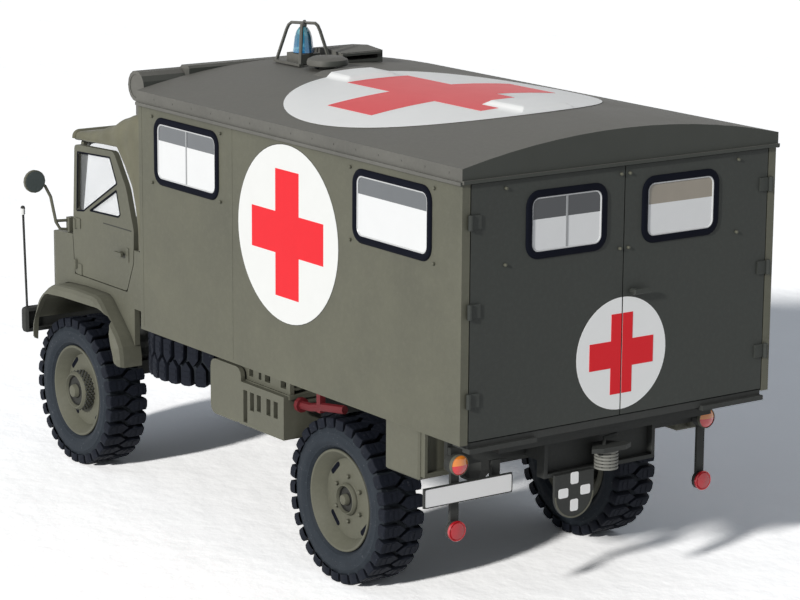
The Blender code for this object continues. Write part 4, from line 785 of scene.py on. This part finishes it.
def cross(length, width):
    a, b = length / 2, width / 2
    return [(a, -b), (a, b), (b, b), (b, a), (-b, a), (-b, b), (-a, b), (-a, -b), (-b, -b),
            (-b, -a), (b, -a), (b, -b)]


def disc(radius, steps=64):
    return [polar(radius, 2 * pi * k / steps) for k in range(steps)]


def cut(bm, spot, normal, clear=False):
    """Cut along a plane, and clear what lies beyond it."""
    bmesh.ops.bisect_plane(bm, geom=bm.verts[:] + bm.edges[:] + bm.faces[:],
                           plane_co=spot, plane_no=normal, clear_outer=clear)


def clipped(outline, low=None, high=None):
    """A flat sheet, or the part of it whose u lies between two limits."""
    bm = bmesh.new()
    bm.faces.new([bm.verts.new((u, v, 0)) for u, v in outline])
    for limit, sign in ((low, -1), (high, 1)):
        if limit is not None:
            cut(bm, (limit, 0, 0), (sign, 0, 0), True)
    return bm


def sheet_on(bm, place, lift, thick=0.00003):
    """Lay flat faces on a surface and give them a little thickness."""
    grown = bmesh.ops.extrude_face_region(bm, geom=bm.faces[:])
    top = {item for item in grown["geom"] if isinstance(item, bmesh.types.BMVert)}
    for vertex in bm.verts:
        height = lift + (thick if vertex in top else 0.0)
        vertex.co = place(vertex.co.x, vertex.co.y, height)
    return bm


def emblem(prefix, word, place, radii, arms, white, body="chassis",
           limits=(None, None)):
    """Dark edge, white disc and red cross, cut off at two limits across."""
    for kind, outline, look, lift, thick in (
            ("disc_edge_", disc(radii[1]), "dark", -0.00002, 0.000028),
            ("disc_", disc(radii[0]), white, 0.00001, 0.00003),
            ("cross_", cross(*arms), "red", 0.00004, 0.00003)):
        add(prefix + kind + word, sheet_on(clipped(outline, *limits), place, lift, thick),
            look, body)


def make_emblems():
    for side, word in SIDES:
        emblem("", word, on_wall(SIDE_EMBLEM_X, SIDE_EMBLEM_Z, side), (SIDE_DISC, SIDE_EDGE),
               SIDE_CROSS, "white")
    for side, word in SIDES:
        limits = (DOOR_GAP, None) if side > 0 else (None, -DOOR_GAP)
        # The rear discs take the paler white, brightened as painted light
        emblem("rear_", word, on_rear(0.0, REAR_EMBLEM_Z), (REAR_DISC, REAR_EDGE),
               REAR_CROSS, "white_shade", "rear_door_" + word, limits)
    make_roof_disc()


# The roof's disc follows the arc of the roof and the two raised blanks under it

DISC_X, DISC_Y = 0.0068, 0.0020
BLANK_HEIGHT = 0.0007
BLANK_SLOPE = 0.0011
# middle along X and Y, half length and half width of the flat top
BLANKS = ((0.0300, 0.0025, 0.0040, 0.0040), (-0.0118, -0.0005, 0.0040, 0.0040))


def blank_rise(x, y):
    rise = 0.0
    for middle_x, middle_y, half_x, half_y in BLANKS:
        inside = min(half_x - abs(x - middle_x), half_y - abs(y - middle_y))
        rise = max(rise, min(1.0 + inside / BLANK_SLOPE, 1.0))
    return rise * BLANK_HEIGHT


def on_roof(u, v, h):
    x, y = DISC_X + u, DISC_Y + v
    return at(x, y, roof_height(y) + blank_rise(x, y) + h)


def scored(outline):
    """A flat sheet with edges where the roof's arc and the blanks bend it."""
    bm = clipped(outline)
    lines = [((0, step * 0.0021, 0), (0, 1, 0)) for step in range(-12, 13)]
    for middle_x, middle_y, half_x, half_y in BLANKS:
        # The slopes of a square blank meet on its diagonals
        lines += [((middle_x - DISC_X, middle_y - DISC_Y, 0), (1, turn, 0))
                  for turn in (1, -1)]
        for side in (1, -1):
            for reach in (0.0, BLANK_SLOPE / 2, BLANK_SLOPE):
                u = middle_x - DISC_X + side * (half_x + reach)
                v = middle_y - DISC_Y + side * (half_y + reach)
                lines += [((u, 0, 0), (1, 0, 0)), ((0, v, 0), (0, 1, 0))]
    for spot, normal in lines:
        cut(bm, spot, normal)
    return bm


def off_blanks(bm):
    """Leave out the faces that lie on the raised blanks, which stay white."""
    spots = {face: face.calc_center_median() for face in bm.faces}
    covered = [face for face, spot in spots.items()
               if blank_rise(DISC_X + spot.x, DISC_Y + spot.y) > 0]
    bmesh.ops.delete(bm, geom=covered, context="FACES")
    return bm


def make_roof_disc():
    white = scored(disc(ROOF_DISC, 96))
    # The roof disc takes the paler white, brightened as painted light
    add("roof_disc", sheet_on(white, on_roof, 0.00006), "white_shade")
    red = off_blanks(scored(cross(*ROOF_CROSS)))
    add("roof_cross", sheet_on(red, on_roof, 0.00010), "red")
    for word, (middle_x, middle_y, half_x, half_y) in zip(("front", "rear"), BLANKS):
        reach_x, reach_y = half_x + BLANK_SLOPE, half_y + BLANK_SLOPE
        u, v = middle_x - DISC_X, middle_y - DISC_Y
        corners = rectangle(u - reach_x, u + reach_x, v - reach_y, v + reach_y)
        # The first corner is at the front, as it settles how the slopes are split
        blank = scored(corners[1:] + corners[:1])
        add("roof_blank_" + word, sheet_on(blank, on_roof, -0.00004, 0.00005), "roof")


# Colours of the frame's own nodes

def dress_nodes():
    # a star stands for left and right
    looks = {
        # The rear doors take the olive darkened as painted shade
        "rear": ("rear_door_*",),
        "side": ("wall_*", "wall_front"),
        "roof": ("body_roof", "roof_vent", "roof_hatch", "front_duct", "beacon_guard"),
        "cab": ("cab_shell", "fender_*", "windscreen_frame", "cab_door_*", "dashboard",
                "mirror_*", "slotted_rack", "rear_locker_*", "fuel_tank"),
        # The chassis parts take the olive darkened as painted shade
        "frame": ("ladder_frame", "front_axle", "rear_axle", "knuckle_*",
                  "engine_and_gearbox", "body_floor", "front_bumper", "convoy_plate",
                  "tail_lamp_*", "licence_plate"),
        "cloth": ("canvas_roof",),
        "seat": ("cab_seats",),
        "glass": ("windscreen_glass", "cab_door_glass_*"),
        "lamp": ("headlamp_*",),
        "blue": ("beacon_lamp",),
        "pipe": ("red_pipe",),
        "frost": ("window_front_*", "window_rear_*", "rear_door_pane_*"),
        "tyre": ("tyre_front_*", "tyre_rear_*", "spare_tyre"),
    }
    for look, names in looks.items():
        for name in names:
            for _, word in SIDES:
                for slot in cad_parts[name.replace("*", word)].material_slots:
                    slot.material = paints[look]


# Rear lamps, reflectors and plates

LAMP_X = -0.0272
LAMP_Y = 0.0240
LAMP_Z = 0.0251
REFLECTOR_Z = 0.0149
LENS_RADIUS = 0.00149
LENS_DOME = 0.00042
LENS_LIFT = 0.0001
LAMP_RIM = ((0.00155, -0.0004), (0.00162, 0.0001), (0.00156, 0.0002), (0.0015, 0.0002),
            (0.00148, 0.0))
GLASS = ((0.00135, 0.0), (0.00125, 0.0002), (0.0006, 0.00034), (0.0, 0.00038))
GLASS_RIM = ((0.0015, -0.0003), (0.00158, 0.0001), (0.00148, 0.00022), (0.00134, 0.0001),
             (0.00134, -0.0001))


def make_rear_lights():
    for side, word in SIDES:
        lamp = to_rear(LAMP_X - 0.0009, side * LAMP_Y, LAMP_Z)
        reflector = to_rear(LAMP_X - 0.0005, side * LAMP_Y, REFLECTOR_Z)
        add("lamp_rim_" + word, lathe(LAMP_RIM, lamp, 28), "cab")
        for half_name, turn, look in (("upper", 0, "orange"), ("lower", 1, "lens_red")):
            bm = bmesh.new()
            middle = bm.verts.new(lamp(0, 0, LENS_DOME + LENS_LIFT))
            rows = []
            for share in (0.25, 0.5, 0.75, 1.0):
                dome = LENS_DOME * (1 - share ** 2) + LENS_LIFT
                rows.append([bm.verts.new(lamp(*polar(LENS_RADIUS * share,
                                                      pi * (turn + k / 10)), dome))
                             for k in range(11)])
            for k in range(10):
                bm.faces.new((middle, rows[0][k], rows[0][k + 1]))
                for first, second in zip(rows, rows[1:]):
                    bm.faces.new((first[k], second[k], second[k + 1], first[k + 1]))
            add("lamp_" + half_name + "_" + word, bm, look)
        for name, profile in (("reflector_", GLASS), ("reflector_rim_", GLASS_RIM)):
            add(name + word, lathe(profile, reflector, 24), "reflector")


# Number plate and convoy plate, both without marks

PLATE = (-0.0278, 0.0220, 0.0208)
PLATE_SIZE = (0.0162, 0.0030)
CONVOY = (-0.03201, 0.0054, 0.0190)
CONVOY_RADIUS = 0.0037
CONVOY_FOOT = 0.0149
PATCH_REACH = 0.0021       # from the plate's middle to each pale patch
PATCH_SIZE = (0.00148, 0.00184)


def make_plates():
    on_plate = to_rear(*PLATE)
    width, height = PLATE_SIZE
    add("plate_sheet", slab(rounded_rectangle(width - 0.0003, height - 0.0003, 0.0003, 3),
                            on_plate, -0.00001, 0.00004), "plate")
    border = sweep(rounded_rectangle(width, height, 0.0004, 3),
                   [(0.0, -0.00002), (0.0, 0.00008), (0.00014, 0.00008), (0.00018, -0.00002)],
                   on_plate)
    add("plate_border", border, "dark", smooth=60)

    on_convoy = to_rear(*CONVOY)
    patches = bmesh.new()
    for u, v in ((0, 1), (0, -1), (1, 0), (-1, 0)):
        across, up = PATCH_SIZE if v else PATCH_SIZE[::-1]
        spot = shifted(on_convoy, u * PATCH_REACH, v * PATCH_REACH)
        merge(patches, slab(rounded_rectangle(across, up, 0.0003, 3), spot, 0.00001,
                            0.00006))
    add("convoy_patches", patches, "plate")
    middle = CONVOY_FOOT + CONVOY_RADIUS - CONVOY[2]
    bow = [polar(CONVOY_RADIUS, pi + pi * k / 20) for k in range(21)]
    edge = bmesh.new()
    for first, second in zip(bow, bow[1:]):
        corners = [(p * scale, q * scale + middle)
                   for scale, pair in ((1.0, (first, second)), (0.93, (second, first)))
                   for p, q in pair]
        merge(edge, slab(corners, on_convoy, 0.00001, 0.00005))
    add("convoy_edge", edge, "cab")


# Canvas cover over the back of the cab: one sheet from side to side

CANVAS_HALF = 0.0266
CANVAS_THICK = 0.0005
CANVAS_BEND = 0.0017
CANVAS_FRONT = 0.0815
CANVAS_REAR = 0.0549
CANVAS_STEPS = 66
CANVAS_SLOPE = 1.03        # length along the ridge by length along X
# place along X and height of the ridge, from front to rear
CANVAS_TOP = ((0.0815, 0.0599), (0.0752, 0.0610), (0.0693, 0.0626), (0.0658, 0.0643),
              (0.0624, 0.0654), (0.0585, 0.0658), (0.0549, 0.0659))
# the same for the lower edge, round the door
CANVAS_FOOT = ((0.0815, 0.0590), (0.0811, 0.0589), (0.0666, 0.0594), (0.0638, 0.0564),
               (0.0615, 0.0532), (0.0604, 0.0498), (0.0597, 0.0462), (0.0596, 0.0425),
               (0.0549, 0.0425))


def between(points, x):
    """Height on a line of points that run from front to rear."""
    for (x1, z1), (x2, z2) in zip(points, points[1:]):
        if x1 >= x >= x2:
            return z1 + (z2 - z1) * (x1 - x) / (x1 - x2)
    return points[0][1] if x > points[0][0] else points[-1][1]


def canvas_section(x):
    """Points of the outer face from the left lower edge over the top to the right one."""
    spread = 0.0016
    top = sum(between(CANVAS_TOP, x + spread * k / 4) for k in range(-4, 5)) / 9
    foot = between(CANVAS_FOOT, x)
    bend = min(CANVAS_BEND, 0.8 * (top - foot))
    half = [(CANVAS_HALF, foot + (top - bend - foot) * k / 10) for k in range(11)]
    flat = CANVAS_HALF - bend
    for k in range(1, 7):
        out, up = polar(bend, pi / 2 * k / 6)
        half.append((flat + out, top - bend + up))
    half += [(flat * (1 - k / 14), top) for k in range(1, 15)]
    return half + [(-y, z) for y, z in reversed(half[:-1])]


def canvas_crease(x, y, z):
    """How far the cloth draws in: soft folds, deeper behind the door and at the step."""
    fold = 0.5 + 0.5 * sin(x * 1500 + 260 * y * y * 30 + sin(z * 900))
    step = max(0.0, 1 - abs(x - 0.0665) / 0.0050)
    cloud = 0.5 + 0.5 * noise.noise(Vector((x * 260, y * 170, z * 260)))
    return 0.00007 * fold + 0.00016 * cloud + 0.00012 * step * fold


def make_canvas():
    bm = bmesh.new()
    rows = []
    for station in range(CANVAS_STEPS + 1):
        x = CANVAS_FRONT + (CANVAS_REAR - CANVAS_FRONT) * station / CANVAS_STEPS
        section = canvas_section(x)
        row = []
        for index, (y, z) in enumerate(section):
            before = Vector(section[max(0, index - 1)])
            after = Vector(section[min(len(section) - 1, index + 1)])
            along = (after - before).normalized()
            inward = Vector((-along.y, along.x))
            edge = min(1.0, min(index, len(section) - 1 - index) / 3)
            deep = canvas_crease(x, y, z) * edge
            row.append(bm.verts.new(at(x, y + inward.x * deep, z + inward.y * deep)))
        rows.append(row)
    for first, second in zip(rows, rows[1:]):
        for k in range(len(first) - 1):
            bm.faces.new((first[k], first[k + 1], second[k + 1], second[k]))
    area = sum(face.calc_area() for face in bm.faces)
    cover = add("canvas_cover", bm, "cloth", smooth=60)
    thicken(cover, CANVAS_THICK)
    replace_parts(cover, "canvas_roof")
    hem = bmesh.new()
    lip = [at(CANVAS_FRONT - 0.0002, y * 0.992, z - 0.0002)
           for y, z in canvas_section(CANVAS_FRONT)]
    merge(hem, tube(lip, 0.00054, 12))
    for side in (1, -1):
        edge = [at(x, side * (CANVAS_HALF - 0.0002), z) for x, z in CANVAS_FOOT[1:-1]]
        merge(hem, tube(edge, 0.00020, 8))
    hem = add("canvas_hem", hem, "cloth", smooth=60)
    along = (CANVAS_FRONT - CANVAS_REAR) * CANVAS_SLOPE


def thicken(piece, depth):
    """Give an open sheet its thickness on the inner side."""
    layer = piece.modifiers.new("thickness", "SOLIDIFY")
    layer.thickness = depth
    layer.offset = -1.0
    graph = bpy.context.evaluated_depsgraph_get()
    mesh = bpy.data.meshes.new_from_object(piece.evaluated_get(graph))
    piece.modifiers.remove(layer)
    piece.data = mesh


def tube(points, radius, sides):
    """A round tube along a line of points, with closed ends."""
    bm = bmesh.new()
    rings = []
    for index, point in enumerate(points):
        before = points[max(0, index - 1)]
        after = points[min(len(points) - 1, index + 1)]
        along = (after - before).normalized()
        across = along.cross(Vector((0.13, 0.31, 0.94))).normalized()
        other = along.cross(across)
        ring = [polar(radius, 2 * pi * k / sides) for k in range(sides)]
        rings.append([bm.verts.new(point + across * a + other * b) for a, b in ring])
    bridge(bm, rings)
    bm.faces.new(rings[0])
    bm.faces.new(list(reversed(rings[-1])))
    return bm


# Seats: two crowned cushions and backs on a plinth

SEAT_FLOOR = 0.0351
SEAT_X, SEAT_Y = 0.0625, 0.0115
BACK_X = 0.0583
# height over the floor and half size of each pad
CUSHION = (0.0040, (0.0042, 0.0059, 0.0010))
BACK = (0.0090, (0.0048, 0.0057, 0.0007))
PLINTH = (0.0070, 0.0380, 0.0006, 3)
PLINTH_HEIGHT = 0.0029
CROWN = 0.0004
CHANNELS = (-0.35, 0.35)


def cushion(middle, reach, crown, channels):
    """A crowned pad. Reach is its half size; channels are sewn across its width."""
    bm = bmesh.new()
    bmesh.ops.create_cube(bm, size=2.0)
    bmesh.ops.subdivide_edges(bm, edges=bm.edges[:], cuts=15, use_grid_fill=True)
    for vertex in bm.verts:
        u, v, w = vertex.co
        norm = (abs(u) ** 6 + abs(v) ** 6 + abs(w) ** 6) ** (1 / 6)
        u, v, w = u / norm, v / norm, w / norm
        swell = crown * (1 - u * u) * (1 - v * v)
        for channel in channels:
            swell -= 0.35 * crown * max(0.0, 1 - abs(v - channel) / 0.10) * (1 - u * u)
        waist = 1 - 0.03 * (1 - w * w)
        vertex.co = (middle + Vector((u * reach[0] * waist, v * reach[1] * waist,
                                      w * reach[2] + (swell if w > 0 else 0.0))))
    return bm


def make_seats():
    plinth = slab(rounded_rectangle(*PLINTH), to_top(SEAT_X, 0.0, SEAT_FLOOR), 0.0,
                  PLINTH_HEIGHT)
    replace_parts(add("seat_plinth", plinth, "frame"), "cab_seats")
    for side, word in SIDES:
        for name, x, turn, (height, reach) in (("cushion", SEAT_X, 0, CUSHION),
                                               ("back", BACK_X, 90, BACK)):
            pad = cushion(Vector((0, 0, 0)), reach, CROWN, CHANNELS)
            place = Matrix.Translation(at(x, side * SEAT_Y, SEAT_FLOOR + height))
            turned = place @ Matrix.Rotation(radians(turn), 4, "Y")
            bmesh.ops.transform(pad, matrix=turned, verts=pad.verts)
            add("seat_" + name + "_" + word, pad, "seat", smooth=60)


# Small trim: seams, rivets and hinge leaves

SEAM_X = (0.0253, 0.0532)
SEAM_FOOT, SEAM_HEIGHT, SEAM_HALF = 0.0311, 0.0372, 0.00035
RIVETS = 15
FIRST_RIVET = 0.0030
RIVET_PITCH = 0.0058
RIVET_Z = 0.0699
RIVET_HEAD = ((0.00016, 0.00018), (0.00013, 0.00026), (0.0, 0.00029))
FASCIA_LINE = (-0.0283, 0.0283, -0.0001, 0.0001)


def make_wall_trim():
    for side, word in SIDES:
        seams = bmesh.new()
        for x in SEAM_X:
            strip = rectangle(-SEAM_HALF, SEAM_HALF, 0.0, SEAM_HEIGHT)
            merge(seams, slab(strip, on_wall(x, SEAM_FOOT, side), -0.00002, 0.00003))
        add("wall_seams_" + word, seams, "side", smooth=20)
        rivets = bmesh.new()
        for index in range(RIVETS):
            x = BODY_REAR + FIRST_RIVET + index * RIVET_PITCH
            merge(rivets, lathe(RIVET_HEAD, on_wall(x, RIVET_Z, side), 8))
        add("gutter_rivets_" + word, rivets, "roof", smooth=50)
    line = slab(rectangle(*FASCIA_LINE), on_rear(0.0, BODY_EAVE), -0.0001, 0.00004)
    add("fascia_line", line, "seal")


def make_door_trim():
    for side, word in SIDES:
        on_door = to_side(CANVAS_HALF, side)
        seam = slab([(0.0620, 0.04535), (0.0716, 0.04525), (0.0716, 0.04541),
                     (0.0620, 0.04555)], on_door, -0.00002, 0.00002)
        add("door_seam_" + word, seam, "dark", "cab_door_" + word)
        leaves = bmesh.new()
        # rear, front, bottom and top of each hinge leaf
        for leaf in ((0.0795, 0.0812, 0.0430, 0.0448), (0.0792, 0.0806, 0.0348, 0.0367)):
            merge(leaves, slab(rectangle(*leaf), on_door, -0.00002, 0.00016))
        keeper = rectangle(0.0629, 0.0637, 0.0399, 0.0423)
        merge(leaves, slab(keeper, on_door, -0.00002, 0.00012))
        add("door_leaves_" + word, leaves, "cab", "cab_door_" + word, 20)


# Mirrors, marker rods, the door panes' seals, coupling, vent and duct end

MIRROR = (0.0841, 0.0329, 0.0513)
ROD_TIP = (0.0964, 0.0289, 0.0443)
# places along X and up of each pane's corners
PANES = (((0.0808, 0.0461), (0.0802, 0.0565), (0.0690, 0.0571), (0.0667, 0.0529),
          (0.0784, 0.0464)),
         ((0.0761, 0.0468), (0.0669, 0.0517), (0.0657, 0.0477), (0.0664, 0.0472)))
PANE_SEAL = 0.00014
DRUM_RINGS = 6
DRUM_HEIGHT = 0.0031
COUPLING = (-0.0328, 0.0, 0.0220)
VENT_X, VENT_Y = 0.0385, 0.0024
DUCT_END = (0.0569, 0.0283, 0.0710)


def pane_seal(corners, place):
    """A narrow strip along each edge of a pane."""
    bm = bmesh.new()
    corners = [Vector(corner) for corner in corners]
    for first, second in zip(corners, corners[1:] + corners[:1]):
        along = (second - first).normalized()
        off = Vector((-along.y, along.x)) * PANE_SEAL
        merge(bm, slab([first + off, second + off, second - off, first - off], place,
                       -0.00004, 0.00004))
    return bm


def make_fittings():
    for side, word in SIDES:
        face = lathe([(0.00185, -0.0001), (0.0018, 0.00004), (0.0, 0.00006)],
                     to_rear(MIRROR[0], side * MIRROR[1], MIRROR[2]), 40)
        add("mirror_face_" + word, face, "mirror_back")
        tip = lathe([(0.00036, -0.0012), (0.00040, -0.0010), (0.00040, 0.0), (0.0, 0.0001)],
                    to_top(ROD_TIP[0], side * ROD_TIP[1], ROD_TIP[2]), 12)
        add("rod_tip_" + word, tip, "white")
        seals = bmesh.new()
        for corners in PANES:
            merge(seals, pane_seal(corners, to_side(CANVAS_HALF, side)))
        add("pane_seal_" + word, seals, "seal", "cab_door_" + word)
    drum = [(0.0, 0.00002)]
    for ring in range(DRUM_RINGS):
        low = DRUM_HEIGHT * ring / DRUM_RINGS
        drum += [(0.00183, low + 0.00005), (0.00183, low + 0.00032), (0.00165, low + 0.0004)]
    add("coupling_drum", lathe(drum + [(0.0, DRUM_HEIGHT)], to_top(*COUPLING), 30), "bare")
    foot = roof_height(VENT_Y)
    vent = lathe([(0.0, foot), (0.0014, foot), (0.0014, 0.0747), (0.0030, 0.0747),
                  (0.00345, 0.07485), (0.0035, 0.0752), (0.0033, 0.07575),
                  (0.0026, 0.0761), (0.0013, 0.0762), (0.0, 0.0762)],
                 to_top(VENT_X, VENT_Y), 48)
    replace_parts(add("vent_cap", vent, "roof", smooth=40), "roof_vent")
    x, y, z = DUCT_END
    add("duct_end", lathe([(0.0023, -0.0004), (0.00225, -0.0001), (0.0, -0.00008)],
                          to_side(y, 1, x, z), 32), "roof")


FLOOR_HALF = 3.0


def make_stage():
    bm = bmesh.new()
    bmesh.ops.create_grid(bm, x_segments=2, y_segments=2, size=FLOOR_HALF)
    mesh = bpy.data.meshes.new("floor")
    bm.to_mesh(mesh)
    bm.free()
    mesh.materials.append(floor_material())
    put("floor", mesh)


SKY_COLOUR = (0.84, 0.91, 1.0, 1.0)
SKY_STRENGTH = 0.18
SUN_COLOUR = (1.0, 0.985, 0.95)
SUN_STRENGTH = 3.1
SUN_SPREAD = radians(4)
SUN_FROM = (-0.72, 2.30, 1.0)


def make_light():
    scene = bpy.context.scene
    scene.view_settings.view_transform = "Standard"
    world = bpy.data.worlds.new("studio")
    world.use_nodes = True
    tree = world.node_tree
    sky = tree.nodes["Background"]
    sky.inputs["Color"].default_value = SKY_COLOUR
    sky.inputs["Strength"].default_value = SKY_STRENGTH
    backdrop = tree.nodes.new("ShaderNodeBackground")
    backdrop.inputs["Color"].default_value = (1.0, 1.0, 1.0, 1.0)
    both = tree.nodes.new("ShaderNodeMixShader")
    for output, socket in zip((seen(tree), sky.outputs[0], backdrop.outputs[0]),
                              both.inputs):
        tree.links.new(output, socket)
    tree.links.new(both.outputs[0], tree.nodes["World Output"].inputs["Surface"])
    scene.world = world
    lamp = bpy.data.lights.new("key", "SUN")
    lamp.energy = SUN_STRENGTH
    lamp.angle = SUN_SPREAD
    lamp.color = SUN_COLOUR
    turn = Vector(SUN_FROM).to_track_quat("Z", "Y")
    put("key", lamp).matrix_world = turn.to_matrix().to_4x4()


place_camera()
paints = make_materials()
dress_nodes()
make_wheels()
make_windows()
make_emblems()
make_rear_lights()
make_plates()
make_canvas()
make_seats()
make_wall_trim()
make_door_trim()
make_fittings()
make_stage()
make_light()
